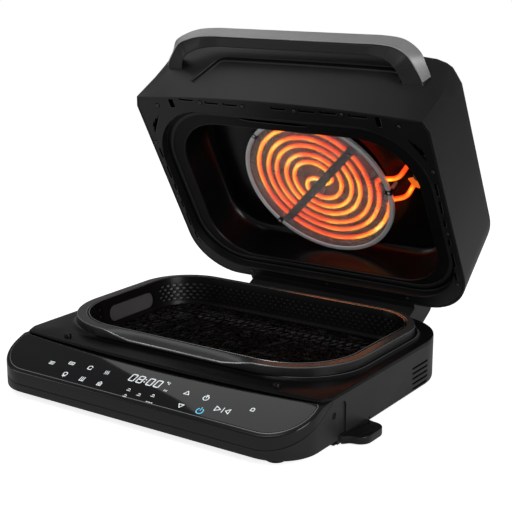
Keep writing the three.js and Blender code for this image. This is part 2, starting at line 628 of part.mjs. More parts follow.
// The lid's outer form moved in by a distance, from the rim or from below it.
function coverForm(distance, below = 0) {
  const edge = cover.edge - distance;
  const rings = [atHeight(inset(rimOutline, distance), rimZ - below)];
  if (below > 0) rings.push(atHeight(inset(rimOutline, distance), rimZ));
  for (const share of edgeShares) {
    const z = coverTop - cover.edge + edge * Math.sin(share * quarter);
    const drawnIn = distance + edge * (1 - Math.cos(share * quarter));
    rings.push(atHeight(inset(coverOutline(z), drawnIn), z));
  }
  return ringSolid(rings);
}
const neck = {
  behind: 18.5, front: 2, round: 11, lowUp: 14.9, topUp: 36.06, joinIn: 28, joinDown: 13.5, joinTimes: 3,
};
const wrapShare = 0.95;
const neckRear = hingeY + neck.behind;
const neckProfile = (shrink) => [
  [coverRear - neck.joinIn + shrink * neck.joinTimes, rimZ + shrink],
  [body.rear + neck.front + shrink, rimZ + shrink],
  [body.rear + neck.front + shrink, hingeZ + neck.round],
  ...arc(hingeY, hingeZ, neck.round - shrink, 2 * quarter, 4 * quarter * wrapShare),
  [neckRear - shrink, hingeZ + neck.lowUp],
  [neckRear - shrink, rimZ + neck.topUp - shrink / 2],
  [coverRear - neck.joinIn + shrink * neck.joinTimes, coverTop - neck.joinDown - shrink * neck.joinTimes],
];
const exhaust = { sideIn: 77, lowUp: 37.4, height: 35, margin: 6, thick: 1.8, pitch: 14.3, slot: 6.4 };
const exhaustHalf = neckHalf - exhaust.sideIn;
const exhaustLow = hingeZ + exhaust.lowUp;
const exhaustTop = exhaustLow + exhaust.height;
let shell = coverForm(0).add(slab(neckProfile(0), -neckHalf, neckHalf));
shell = shell.subtract(coverForm(cover.wall, overshoot));
shell = shell.subtract(slab(neckProfile(cover.wall), cover.wall - neckHalf, neckHalf - cover.wall));
shell = shell.subtract(rod(hingeY, hingeZ, hinge.pin + pinRun, -acrossX, acrossX));
shell = shell.subtract(box(
  -exhaustHalf, exhaustHalf, neckRear - cover.wall - overshoot, neckRear + overshoot,
  exhaustLow, exhaustTop,
));
addTo(lid, 'lid_shell', shell, satinBlack);

// The exhaust cover on the back of the neck.
const exhaustY = neckRear + fit;
let exhaustCover = box(
  -exhaustHalf - exhaust.margin, exhaustHalf + exhaust.margin, exhaustY, exhaustY + exhaust.thick,
  exhaustLow - exhaust.margin, exhaustTop + exhaust.margin,
);
const slotsOut = Math.floor((exhaustHalf - exhaust.slot / 2) / exhaust.pitch);
for (let i = -slotsOut; i <= slotsOut; i += 1) {
  const x = i * exhaust.pitch;
  exhaustCover = exhaustCover.subtract(box(
    x - exhaust.slot / 2, x + exhaust.slot / 2, neckRear, exhaustY + overshoot, exhaustLow, exhaustTop,
  ));
}
addTo(lid, 'exhaust_cover', exhaustCover, satinBlack);

// The lid's rim frame: a roof over the groove that takes the pot's rim, and a band round it.
// The band is in four strips and four corners, so that the groove stays open for collision.
const grooveIn = { side: -4, front: -3, rear: -4.5, frontRadius: -2, rearRadius: -2 };
const chamberIn = { side: 26.4, front: 26.5, rear: 14.5, frontRadius: 20, rearRadius: 10 };
const groove = inside(potRim, grooveIn);
const chamber = inside(groove, chamberIn);
const band = { headroom: 1.5, sheet: 3, draft: 0.6, thick: 4.06 };
const grooveTop = potTop + band.headroom;
const roofTop = grooveTop + band.sheet;
addTo(lid, 'lid_groove_roof', prism(plan(groove, band.sheet), grooveTop, roofTop).subtract(
  prism(plan(chamber), grooveTop - overshoot, roofTop + overshoot),
), satinBlack);
const bandRing = (z) => atHeight(inset(coverOutline(z), cover.wall + fit), z);
let rimBand = ringSolid([bandRing(rimZ), bandRing(rimZ + band.thick)]);
rimBand = rimBand.add(prism(plan(groove, band.sheet), rimZ, grooveTop));
rimBand = rimBand.subtract(ringSolid([
  atHeight(plan(groove, band.draft), rimZ - overshoot),
  atHeight(plan(groove), rimZ),
  atHeight(plan(groove, -band.draft), grooveTop),
  atHeight(plan(groove, -band.draft), grooveTop + overshoot),
]));
const catchSlot = { gap: 1, span: 12 };
for (const side of [-1, 1]) {
  rimBand = rimBand.subtract(sideBox(
    side, locatorX - locator.radius - catchSlot.gap, locatorX + locator.radius + catchSlot.gap,
    locatorY - catchSlot.span / 2, locatorY + catchSlot.span / 2, rimZ - overshoot, roofTop,
  ));
}
const frontX = groove.half - groove.frontRadius;
const rearX = groove.half - groove.rearRadius;
const frontY = groove.front + groove.frontRadius;
const rearY = groove.rear - groove.rearRadius;
const bandParts = [
  ['front', -frontX, frontX, -acrossX, frontY],
  ['rear', -rearX, rearX, rearY, body.rear],
  ['left', -acrossX, 0, frontY, rearY],
  ['right', 0, acrossX, frontY, rearY],
  ['front_left', -acrossX, -frontX, -acrossX, frontY],
  ['front_right', frontX, acrossX, -acrossX, frontY],
  ['rear_left', -acrossX, -rearX, rearY, body.rear],
  ['rear_right', rearX, acrossX, rearY, body.rear],
];
for (const [word, x0, x1, y0, y1] of bandParts) {
  addTo(lid, `lid_rim_${word}`, rimBand.intersect(
    box(x0, x1, y0, y1, rimZ - overshoot, roofTop),
  ), satinBlack);
}

// A soft seal in the groove, just over the pot's rim.
const seal = { gap: 6, width: 5 };
const sealRing = (into, z) => atHeight(plan(groove, -seal.gap - into), z);
addTo(lid, 'lid_gasket', ringSolid([
  sealRing(0, potTop + fit),
  sealRing(0, grooveTop - fit),
  sealRing(seal.width, grooveTop - fit),
  sealRing(seal.width, potTop + fit),
], true), silicone);

// The heating chamber's lining, with a round recess for the fan in its ceiling.
const lining = {
  sheet: 1.2, flange: 9, topDown: 35, corner: 14, cornerIn: 9, lean: 1.6, recessUp: 10, eye: 6.5,
};
const ceiling = coverTop - lining.topDown;
const recessTop = ceiling + lining.recessUp;
const liningFoot = roofTop + fit;
const coil = {
  wallIn: 14, armOut: 3.5, tube: 3.25, drop: 13.4, eye: 24.8, left: 1.9, ahead: 4.6,
  stepsPerTurn: 22, steps: 190, sides: 6,
};
const coilOuter = (chamber.rear - chamber.front) / 2 - coil.wallIn;
const recess = { coilIn: 3 };
const recessRadius = coilOuter - recess.coilIn;
const fanPlace = { behindMiddle: 1 };
const fanY = (chamber.front + chamber.rear) / 2 + fanPlace.behindMiddle;
const roundAt = (radius, z0, z1, sides = 32) => disc(0, fanY, radius, z0, z1, sides);
const liningForm = (grow, low) => ringSolid([
  atHeight(plan(chamber, grow), low),
  atHeight(plan(chamber, grow - lining.lean), ceiling - lining.corner + grow),
  atHeight(plan(chamber, grow - lining.lean - lining.cornerIn / 3), ceiling - lining.corner / 3 + grow),
  atHeight(plan(chamber, grow - lining.lean - lining.cornerIn), ceiling + grow),
]);
let liningShell = liningForm(lining.sheet, liningFoot);
liningShell = liningShell.add(roundAt(recessRadius + lining.sheet, ceiling, recessTop + lining.sheet, 40));
liningShell = liningShell.add(prism(plan(chamber, lining.flange), liningFoot, liningFoot + lining.sheet));
liningShell = liningShell.subtract(liningForm(0, liningFoot - overshoot));
liningShell = liningShell.subtract(roundAt(recessRadius, ceiling - overshoot, recessTop, 40));
liningShell = liningShell.subtract(roundAt(lining.eye, ceiling, recessTop + overshoot, 16));
addTo(lid, 'lid_liner', liningShell, darkCoat);

// The handle: sections of four corners, outer top, outer bottom, inner bottom and inner top.
// X is in shares of the lid's half width, Y of the handle's depth, and Z of the lid's height over its rim.
const handle = { reach: 45.2 };
const handleShares = [
  [[0, -1, 0.97], [0, -1, 0.78], [0, -0.833, 0.715], [0, -0.833, 0.97]],
  [[0.562, -1, 0.97], [0.562, -1, 0.78], [0.533, -0.833, 0.709], [0.533, -0.833, 0.97]],
  [[0.681, -1, 0.929], [0.648, -1, 0.755], [0.619, -0.817, 0.65], [0.652, -0.817, 0.925]],
  [[0.762, -0.967, 0.858], [0.71, -0.983, 0.715], [0.671, -0.783, 0.585], [0.724, -0.767, 0.845]],
  [[0.833, -0.875, 0.765], [0.774, -0.933, 0.65], [0.71, -0.733, 0.53], [0.776, -0.683, 0.745]],
  [[0.861, -0.683, 0.715], [0.819, -0.767, 0.595], [0.733, -0.6, 0.5], [0.8, -0.533, 0.69]],
  [[0.888, -0.45, 0.665], [0.872, -0.483, 0.52], [0.748, -0.433, 0.48], [0.815, -0.383, 0.665]],
  [[0.905, -0.127, 0.617], [0.886, -0.127, 0.485], [0.757, -0.15, 0.445], [0.824, -0.12, 0.645]],
];
const handleDepth = deck.crease + handle.reach;
const handlePoint = ([x, y, z]) => [x * body.half, y * handleDepth, rimZ + z * cover.height];
const mirrored = handleShares.slice(1).reverse().map((section) => section.map(([x, y, z]) => [-x, y, z]));
const sections = [...mirrored, ...handleShares].map((section) => section.map(handlePoint));
// Moves the outer edge of a section in towards its inner edge.
function moveIn([a, b, c, d], distance) {
  const inward = new THREE.Vector3(c[0] + d[0] - a[0] - b[0], c[1] + d[1] - a[1] - b[1], 0);
  inward.setLength(distance);
  const shift = ([x, y, z]) => [x + inward.x, y + inward.y, z];
  return [shift(a), shift(b)];
}
const trim = { thick: 1.5 };
const bodySections = sections.map((s) => [...moveIn(s, trim.thick + fit), s[2], s[3]]);
const trimSections = sections.slice(1, -1).map((s) => [s[1], s[0], ...moveIn(s, trim.thick)]);
addTo(lid, 'handle_body', ringSolid(bodySections).subtract(coverForm(-fit, fit)), satinBlack);
addTo(lid, 'handle_trim', ringSolid(trimSections).subtract(coverForm(-fit, fit)), brightSteel);

// The heating coil: two interleaved arms that meet in an S at the middle, in one unbroken tube.
// Its ends run out to two posts beside the chamber's wall. A lead's points are shares of the way out
// from the coil to its post, and of the coil's radius.
const coilZ = ceiling - coil.drop;
const post = { radius: 6, drop: 18.5, frontIn: 25.6, rearIn: 23.6 };
const postDeepShares = { front: -0.612, rear: -0.337 };
const postX = { front: chamber.half - post.frontIn, rear: chamber.half - post.rearIn };
const leadShares = {
  front: [
    [0.922, -0.561], [0.653, -0.383], [0.449, -0.259], [0.204, -0.218], [-0.041, -0.209], [-0.194, -0.179],
  ],
  rear: [[0.931, -0.283], [0.706, -0.102], [0.51, 0.047], [0.176, 0.107], [0.063, 0.121]],
};
const lead = (word) => leadShares[word].map(([outShare, deepShare]) => new THREE.Vector3(
  coilOuter + outShare * (postX[word] - coilOuter), fanY + deepShare * coilOuter, coilZ,
));
// Both arms wind inwards round a middle that lies a little to the front left of the fan's axis.
const hookShares = [
  [-0.209, -0.005], [-0.133, -0.066], [-0.036, -0.084], [0.036, -0.046],
  [0.092, -0.003], [0.158, -0.033], [0.21, -0.092],
];
const arms = { frontTurn: -6, rearTurn: 12, frontCount: 2.433, rearCount: 2.883 };
const secondShare = 0.489;
const armRadius = coilOuter + coil.armOut;
const coilPitch = (armRadius - coil.eye) / arms.rearCount;
const degrees = Math.PI / 180;
function spiral(radius, start, turns) {
  const steps = Math.round(turns * coil.stepsPerTurn);
  return Array.from({ length: steps + 1 }, (_, i) => {
    const wound = (turns * i) / steps;
    const turn = (start + 360 * wound) * degrees;
    const reach = radius - coilPitch * wound;
    return new THREE.Vector3(
      reach * Math.cos(turn) - coil.left, fanY - coil.ahead + reach * Math.sin(turn), coilZ,
    );
  });
}
const path = [
  ...lead('front'),
  ...spiral(armRadius - secondShare * coilPitch, arms.frontTurn, arms.frontCount).slice(0, -1),
  ...hookShares.map(([x, y]) => new THREE.Vector3(x * coilOuter, fanY + y * coilOuter, coilZ)),
  ...spiral(armRadius, arms.rearTurn, arms.rearCount).reverse().slice(1),
  ...lead('rear').reverse(),
];
const tubeRing = circle(0, 0, coil.tube, coil.sides).map(([x, y]) => new THREE.Vector2(x, y));
const route = new THREE.CatmullRomCurve3(path, false, 'centripetal');
addTo(lid, 'heating_coil', solid(new THREE.ExtrudeGeometry(new THREE.Shape(tubeRing), {
  steps: coil.steps, bevelEnabled: false, extrudePath: route,
})), hotCoil);
// The least gap between windings, measured on points of the route that aren't near neighbours.
const measured = route.getPoints(coil.steps * 2);
const apart = 14;
let leastGap = Infinity;
for (let i = 0; i < measured.length; i += 1) {
  for (let j = i + apart; j < measured.length; j += 1) {
    leastGap = Math.min(leastGap, measured[i].distanceTo(measured[j]) - 2 * coil.tube);
  }
}
console.log(`heating_coil least gap to itself ${leastGap.toFixed(2)} mm`);

// Posts that hold the coil's ends, the bar across the coil, and the punched guard under it.
for (const [word, x] of Object.entries(postX)) {
  addTo(lid, `coil_terminal_${word}`, disc(
    x, fanY + postDeepShares[word] * coilOuter, post.radius, ceiling - post.drop, ceiling - fit, 12,
  ), ceramic);
}
const guard = { drop: 20, sheet: 1.2, coilOut: 4.5, rings: 4 };
const guardHoleShare = 0.078;
const guardPitchShare = 0.2;
const guardRadius = coilOuter + guard.coilOut;
const guardLow = ceiling - guard.drop;
const bar = { gap: 0.3, thick: 1.4, half: 5.5, coilOut: 3, turn: -44.61 };
const barReach = coilOuter + bar.coilOut;
const barLow = guardLow + guard.sheet + bar.gap;
addTo(lid, 'coil_bracket', box(-barReach, barReach, -bar.half, bar.half, barLow, barLow + bar.thick)
  .rotate([0, 0, bar.turn]).translate([0, fanY, 0]), blackSteel);
const guardPitch = guardRadius * guardPitchShare;
const guardHoles = [];
for (let row = -guard.rings; row <= guard.rings; row += 1) {
  for (let column = -guard.rings; column <= guard.rings; column += 1) {
    if (Math.abs(row + column) <= guard.rings) {
      guardHoles.push(circle(
        guardPitch * (column + row / 2), fanY + guardPitch * row * Math.sin(Math.PI / 3),
        guardRadius * guardHoleShare, 6,
      ));
    }
  }
}
addTo(lid, 'element_guard', roundAt(guardRadius, guardLow, guardLow + guard.sheet, 40).subtract(
  extruded(guardHoles, guardLow - overshoot, guardLow + guard.sheet + overshoot),
), blackSteel);
// The ring round the guard hangs from the chamber's ceiling on three stand-offs.
const hoop = { gap: 0.4, width: 4.7, below: 2, height: 4.4, standoff: 2.2, turns: [-3, 139, 225] };
const hoopIn = guardRadius + hoop.gap;
const hoopLow = guardLow - hoop.below;
let hoopSheet = roundAt(hoopIn + hoop.width, hoopLow, hoopLow + hoop.height, 40);
hoopSheet = hoopSheet.subtract(roundAt(hoopIn, hoopLow - overshoot, hoopLow + hoop.height + overshoot, 40));
for (const turn of hoop.turns) {
  const reach = hoopIn + hoop.width / 2;
  hoopSheet = hoopSheet.add(disc(
    reach * Math.cos(turn * degrees), fanY + reach * Math.sin(turn * degrees), hoop.standoff,
    hoopLow, ceiling - fit, 10,
  ));
}
addTo(lid, 'guard_ring', hoopSheet, brightSteel);

// Fans on one shaft: the impeller over the coil, and the cooling fan under the motor.
// Heights are measured down from the recess's top and up from the heat shield.
const shaft = { radius: 4, drop: 18.5, up: 15.5 };
const impeller = {
  coilIn: 18, sheet: 1.4, drop: 4.5, blade: 9.6, hub: 11, blades: 10, root: 26, half: 0.8, tip: 1,
};
const impellerRadius = coilOuter - impeller.coilIn;
const impellerTop = recessTop - impeller.drop;
const impellerLow = impellerTop - impeller.sheet;
let fan = roundAt(impellerRadius, impellerLow, impellerTop, 36);
fan = fan.add(roundAt(impeller.hub, impellerLow - impeller.blade, impellerTop, 16));
for (let i = 0; i < impeller.blades; i += 1) {
  fan = fan.add(box(
    impeller.root, impellerRadius - impeller.tip, -impeller.half, impeller.half,
    impellerLow - impeller.blade, impellerLow + impeller.half,
  ).rotate([0, 0, (360 * i) / impeller.blades]).translate([0, fanY, 0]));
}
fan = fan.add(roundAt(shaft.radius, recessTop - shaft.drop, recessTop + shaft.up, 16));
addTo(lid, 'fan_impeller', fan, brightSteel);
const cooler = { up: 4.9, sheet: 1, height: 5.2, coilIn: 52, hub: 9, blades: 9, half: 0.7, tip: 1 };
const coolerLow = recessTop + cooler.up;
const coolerRadius = coilOuter - cooler.coilIn;
let coolingFan = roundAt(coolerRadius, coolerLow, coolerLow + cooler.sheet, 28);
coolingFan = coolingFan.add(roundAt(cooler.hub, coolerLow, coolerLow + cooler.height, 16));
for (let i = 0; i < cooler.blades; i += 1) {
  coolingFan = coolingFan.add(box(
    cooler.hub - cooler.tip, coolerRadius - cooler.tip, -cooler.half, cooler.half,
    coolerLow + cooler.sheet / 2, coolerLow + cooler.height,
  ).rotate([0, 0, (360 * i) / cooler.blades]).translate([0, fanY, 0]));
}
addTo(lid, 'cooling_fan', coolingFan.subtract(
  roundAt(shaft.radius + fit, coolerLow - overshoot, coolerLow + cooler.height + overshoot, 16),
), blackSteel);
const motor = { up: 11.9, radius: 31 };
const motorTop = coverTop - cover.wall - fit;
addTo(lid, 'fan_motor', roundAt(motor.radius, recessTop + motor.up, motorTop, 28).subtract(
  roundAt(shaft.radius + fit, recessTop + motor.up - overshoot, recessTop + shaft.up + fit, 16),
), brightSteel);
const shield = { up: 1.5, sheet: 1.2, sideIn: 54.6, frontIn: 6, rearIn: 4, eye: 8 };
const shieldHalf = chamber.half - shield.sideIn;
const shieldLow = recessTop + shield.up;
const shieldTop = shieldLow + shield.sheet;
addTo(lid, 'heat_shield', box(
  -shieldHalf, shieldHalf, chamber.front + shield.frontIn, chamber.rear - shield.rearIn,
  shieldLow, shieldTop,
).subtract(roundAt(shield.eye, shieldLow - overshoot, shieldTop + overshoot, 16)), brightSteel);

// The temperature sensor under the chamber's ceiling, and the thermal cut-out on the heat shield.
const sensor = { sideIn: 72, frontIn: 17, radius: 2.6, drop: 18.5 };
addTo(lid, 'temperature_sensor', disc(
  sensor.sideIn - chamber.half, chamber.front + sensor.frontIn, sensor.radius,
  ceiling - sensor.drop, ceiling - fit, 12,
), brightSteel);
const cutout = { ahead: 49, radius: 9, height: 7.5 };
const cutoutShare = 0.644;
addTo(lid, 'thermal_cutout', disc(
  -cutoutShare * shieldHalf, fanY - cutout.ahead, cutout.radius,
  shieldTop + fit, shieldTop + fit + cutout.height, 16,
), ceramic);

// The lid turns open about the hinge axis.
const openTurn = 60.5;
lid.children.forEach((mesh) => mesh.geometry.translate(0, -hingeY, -hingeZ));
lid.position.set(0, hingeY, hingeZ);
lid.rotation.x = -openTurn * degrees;
group.add(lid);

// The origin is under the middle of the whole part.
group.updateMatrixWorld(true);
const extent = new THREE.Box3().setFromObject(group, true);
const middle = extent.getCenter(new THREE.Vector3());
group.position.set(-middle.x, -middle.y, -extent.min.z);
group.updateMatrixWorld(true);

export default group;
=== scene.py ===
from math import atan2, ceil, cos, hypot, pi, radians, sin, sqrt

import bmesh
import bpy
from mathutils import Matrix, Vector


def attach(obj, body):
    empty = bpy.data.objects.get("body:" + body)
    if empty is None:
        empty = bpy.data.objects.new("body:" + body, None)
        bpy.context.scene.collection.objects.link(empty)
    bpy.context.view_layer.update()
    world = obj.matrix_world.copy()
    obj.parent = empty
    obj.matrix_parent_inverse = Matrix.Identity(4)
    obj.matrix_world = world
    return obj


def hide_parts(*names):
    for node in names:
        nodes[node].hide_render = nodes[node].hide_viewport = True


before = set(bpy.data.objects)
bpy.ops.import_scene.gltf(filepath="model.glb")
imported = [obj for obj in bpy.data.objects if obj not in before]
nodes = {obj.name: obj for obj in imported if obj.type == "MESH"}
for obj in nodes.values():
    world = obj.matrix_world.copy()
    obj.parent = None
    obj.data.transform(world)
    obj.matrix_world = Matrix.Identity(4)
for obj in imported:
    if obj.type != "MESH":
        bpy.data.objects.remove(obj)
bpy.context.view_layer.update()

# The studio: a camera a little above the open grill and to its right, looking down at the basket.
# The table is a pale sheet, with one wide lamp on the right, one overhead and a weak one on the left.
middle = Vector((13.5, 168.51, 0))
view_turn = radians(34.36)
view_rise = radians(14.44)
back = Vector((sin(view_turn) * cos(view_rise), -cos(view_turn) * cos(view_rise), sin(view_rise)))
right = Vector((cos(view_turn), sin(view_turn), 0))
up = back.cross(right)
aim = Vector((12.23, 150, 147.74)) - middle
eye_distance = 1413.95
eye = (aim + back * eye_distance) / 1000
camera = bpy.data.objects.new("camera", bpy.data.cameras.new("camera"))
camera.data.lens = 83.5
camera.data.sensor_width = 36
camera.data.clip_end = 50
camera.matrix_world = Matrix.Translation(eye) @ Matrix((right, up, back)).transposed().to_4x4()
bpy.context.collection.objects.link(camera)
bpy.context.scene.camera = camera
bpy.context.scene.view_settings.view_transform = "Standard"


def lamp(name, place, target, width, height, power):
    light = bpy.data.lights.new(name, "AREA")
    light.shape = "RECTANGLE"
    light.size = width
    light.size_y = height
    light.energy = power
    holder = bpy.data.objects.new(name, light)
    holder.location = place
    holder.rotation_euler = (Vector(target) - Vector(place)).to_track_quat("-Z", "Y").to_euler()
    bpy.context.collection.objects.link(holder)
    return holder


lamp("lamp_right", (2.4, -0.7, 0.9), (0, 0, 0.15), 1.2, 1.4, 32)
lamp("lamp_over", (-0.4, -1.2, 2.2), (0, 0, 0.1), 1.6, 1.0, 10)
lamp("lamp_left", (-2.2, -1.6, 1.0), (0, 0, 0.15), 1.0, 1.4, 7)
# A small panel of light stands behind the grill, so that the touch glass mirrors its straight edge.
mirrored = lamp("lamp_mirrored", (-0.614, 0.202, 1.057), (0.1, -0.2, 0.05), 0.7, 0.3, 0.7)
along, out = Vector((0.656, -0.437, 0.615)), Vector((-0.551, 0.278, 0.786))
mirrored.rotation_euler = Matrix((along, out.cross(along), out)).transposed().to_euler()


class Tone:
    """A socket that takes part in sums, so that shader maths reads as one expression."""

    def __init__(self, socket):
        self.socket = socket

    def sum_of(self, operation, first, second):
        tree = self.socket.id_data
        return add_node(tree, "ShaderNodeMath", {"operation": operation}, {0: first, 1: second})

    def __add__(self, other):
        return self.sum_of("ADD", self, other)

    def __sub__(self, other):
        return self.sum_of("SUBTRACT", self, other)

    def __rsub__(self, other):
        return self.sum_of("SUBTRACT", other, self)

    def __mul__(self, other):
        return self.sum_of("MULTIPLY", self, other)

    def __gt__(self, other):
        return self.sum_of("GREATER_THAN", self, other)

    def __lt__(self, other):
        return self.sum_of("LESS_THAN", self, other)

    __radd__ = __add__
    __rmul__ = __mul__


def add_node(tree, kind, settings=None, inputs=None, output=0):
    """Adds one node: its settings first, then the value or link of each socket."""
    node = tree.nodes.new(kind)
    for key, value in (settings or {}).items():
        if key == "stops":
            ramp = node.color_ramp.elements
            while len(ramp) < len(value):
                ramp.new(1)
            for stop, (place, colour) in zip(ramp, value):
                stop.position = place
                stop.color = (*colour, 1)
        else:
            setattr(node, key, value)
    for key, value in (inputs or {}).items():
        if isinstance(value, Tone):
            tree.links.new(value.socket, node.inputs[key])
        else:
            node.inputs[key].default_value = value
    return Tone(node.outputs[output])


world = bpy.data.worlds.new("studio")
bpy.context.scene.world = world
world.use_nodes = True
sky = world.node_tree
sky.nodes.clear()
ray = {kind: add_node(sky, "ShaderNodeLightPath", output=kind)
       for kind in ("Is Camera Ray", "Is Glossy Ray", "Is Transmission Ray")}
dim = 0.2
tone = ray["Is Camera Ray"] + ray["Is Glossy Ray"] * dim + ray["Is Transmission Ray"]
level = add_node(sky, "ShaderNodeMath", {"operation": "MAXIMUM"}, {0: tone, 1: dim})
seen = add_node(sky, "ShaderNodeBackground", None, {"Color": (1, 1, 1, 1), "Strength": level})
sky.links.new(seen.socket, sky.nodes.new("ShaderNodeOutputWorld").inputs["Surface"])


def bare_material(name):
    """A new material, with its node tree and its surface shader."""
    material = bpy.data.materials.new(name)
    material.use_nodes = True
    return material, material.node_tree, material.node_tree.nodes["Principled BSDF"]


def feed(shader, socket, tone):
    """Links a result of shader maths to a socket of the surface shader."""
    shader.id_data.links.new(tone.socket, shader.inputs[socket])


table = bmesh.new()
bmesh.ops.create_grid(table, x_segments=1, y_segments=1, size=6)
table_mesh = bpy.data.meshes.new("table_top")
table.to_mesh(table_mesh)
table.free()
table_top = bpy.data.objects.new("table_top", table_mesh)
table_top.location.z = -0.0005
bpy.context.collection.objects.link(table_top)
pale, tree, shader = bare_material("pale_table")
shader.inputs["Base Color"].default_value = (0.93, 0.93, 0.93, 1)
shader.inputs["Roughness"].default_value = 0.9
shader.inputs["Specular IOR Level"].default_value = 0.1
table_mesh.materials.append(pale)
lit = Tone(shader.outputs[0])
glow = add_node(tree, "ShaderNodeEmission", None, {"Color": (1, 1, 1, 1), "Strength": 0.82})
through = add_node(tree, "ShaderNodeLightPath", output="Is Camera Ray")
both = add_node(tree, "ShaderNodeAddShader", None, {0: lit, 1: glow})
mixed = add_node(tree, "ShaderNodeMixShader", None, {0: through, 1: lit, 2: both})
tree.links.new(mixed.socket, tree.nodes["Material Output"].inputs["Surface"])


# The body of the base is one satin black moulded wall that runs all round, with a rounded lower edge.
# Cooling slots, a shallow upright channel and the notch over the probe drawer are cut into its sides.
ROOT = Matrix.Scale(0.001, 4) @ Matrix.Translation(-middle)
QUARTER = [i * pi / 2 / 14 for i in range(15)]


def front_corner(x, y, radius):
    return [(x - radius + radius * sin(t), y + radius - radius * cos(t)) for t in QUARTER]


def rear_corner(x, y, radius):
    return [(x - radius + radius * cos(t), y - radius + radius * sin(t)) for t in QUARTER]


def other_side(points):
    """The left half of an outline, mirrored from its right half and run the other way."""
    return [(-x, y) for x, y in reversed(points)]


def rounded(half, front, rear, front_radius, rear_radius, grow=0.0, stations=()):
    """Corner points of a rounded rectangle in plan, from front right round to front left."""
    right_side = front_corner(half + grow, front - grow, front_radius + grow)
    right_side += [(half + grow, y) for y in stations]
    right_side += rear_corner(half + grow, rear + grow, rear_radius + grow)
    return right_side + other_side(right_side)


def hoop(bm, points):
    """A closed ring of edges, set out on a list of points."""
    made = bmesh.ops.create_circle(bm, segments=len(points), radius=1)["verts"]
    ring = sorted(made, key=lambda vert: atan2(vert.co.y, vert.co.x))
    for vert, place in zip(ring, points):
        vert.co = place
    return ring


def ring_edges(bm, ring):
    return [bm.edges.get(ends) for ends in zip(ring, ring[1:] + ring[:1])]


def rise(bm, ring, points, material=0):
    """Extrudes a ring of edges and moves the new ring onto the next points."""
    made = bmesh.ops.extrude_edge_only(bm, edges=ring_edges(bm, ring))["geom"]
    fresh = {v for v in made if isinstance(v, bmesh.types.BMVert)}
    after = [next(e.other_vert(v) for e in v.link_edges if e.other_vert(v) in fresh) for v in ring]
    for vert, place in zip(after, points):
        vert.co = place
    for face in made:
        if isinstance(face, bmesh.types.BMFace):
            face.material_index = material
    return after


def stack(bm, rings, materials=None, caps=(False, False), join=False):
    """A skin through rings of equal point counts, capped at its ends or joined into a loop."""
    first = hoop(bm, rings[0])
    ring = first
    for place, points in enumerate(rings[1:]):
        ring = rise(bm, ring, points, materials[place] if materials else 0)
    if join:
        closing = materials[-1] if materials and len(materials) == len(rings) else 0
        for corners in zip(ring, ring[1:] + ring[:1], first[1:] + first[:1], first):
            for face in bmesh.ops.contextual_create(bm, geom=list(corners))["faces"]:
                face.material_index = closing
    if caps[0]:
        bmesh.ops.contextual_create(bm, geom=first)
    if caps[1]:
        bmesh.ops.contextual_create(bm, geom=ring)
    return first, ring


def flat(points, height):
    return [(x, y, height) for x, y in points]


def plan_rings(plan, steps, stations=()):
    """Level rings of a rounded plan, from how far each is moved out and its height."""
    return [flat(rounded(**plan, grow=grow, stations=stations), height) for grow, height in steps]


def settle(bm, name, body, materials, place=ROOT, crease=35, bevel=0.0, segments=2):
    """Merges and turns out a finished mesh, puts it in its place and hands it to its body."""
    bmesh.ops.remove_doubles(bm, verts=bm.verts, dist=0.0005)
    bmesh.ops.recalc_face_normals(bm, faces=bm.faces)
    bmesh.ops.transform(bm, matrix=place, verts=bm.verts)
    mesh = bpy.data.meshes.new(name)
    bm.to_mesh(mesh)
    bm.free()
    for material in materials:
        mesh.materials.append(material)
    piece = bpy.data.objects.new(name, mesh)
    bpy.context.collection.objects.link(piece)
    if bevel:
        edge = piece.modifiers.new("edges", "BEVEL")
        edge.width = bevel / 1000
        edge.segments = segments
        edge.limit_method = "ANGLE"
        edge.angle_limit = radians(crease)
        edge.use_clamp_overlap = True
    mesh.shade_smooth()
    mesh.set_sharp_from_angle(angle=radians(crease))
    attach(piece, body)
    return piece


def carve(piece, cutter, place=ROOT):
    """Cuts a shape out of a piece for good."""
    bmesh.ops.recalc_face_normals(cutter, faces=cutter.faces)
    bmesh.ops.transform(cutter, matrix=place, verts=cutter.verts)
    mesh = bpy.data.meshes.new("cutter")
    cutter.to_mesh(mesh)
    cutter.free()
    tool = bpy.data.objects.new("cutter", mesh)
    bpy.context.collection.objects.link(tool)
    cut = piece.modifiers.new("cut", "BOOLEAN")
    cut.object = tool
    cut.solver = "EXACT"
    kept = [m for m in piece.modifiers if m.type != "BOOLEAN"]
    for modifier in kept:
        modifier.show_viewport = False
    depsgraph = bpy.context.evaluated_depsgraph_get()
    result = bpy.data.meshes.new_from_object(piece.evaluated_get(depsgraph), depsgraph=depsgraph)
    piece.modifiers.remove(cut)
    for modifier in kept:
        modifier.show_viewport = True
    bpy.data.objects.remove(tool)
    piece.data = result
    result.shade_smooth()
    result.set_sharp_from_angle(angle=radians(35))
    return piece


def block(bm, low, high, radius=0.0, axis="X", segments=6):
    """A box between two corners, with the edges along one axis rounded."""
    made = bmesh.ops.create_cube(bm, size=1)["verts"]
    size = Vector(high) - Vector(low)
    bmesh.ops.scale(bm, vec=size, verts=made)
    bmesh.ops.translate(bm, vec=Vector(low) + size / 2, verts=made)
    if radius:
        way = "XYZ".index(axis)
        edges = {e for v in made for e in v.link_edges
                 if abs((e.verts[0].co - e.verts[1].co)[way]) > 0.5 * size[way]}
        bmesh.ops.bevel(bm, geom=list(edges), offset=radius, offset_type="OFFSET", affect="EDGES",
                        segments=segments, profile=0.5, material=-1)


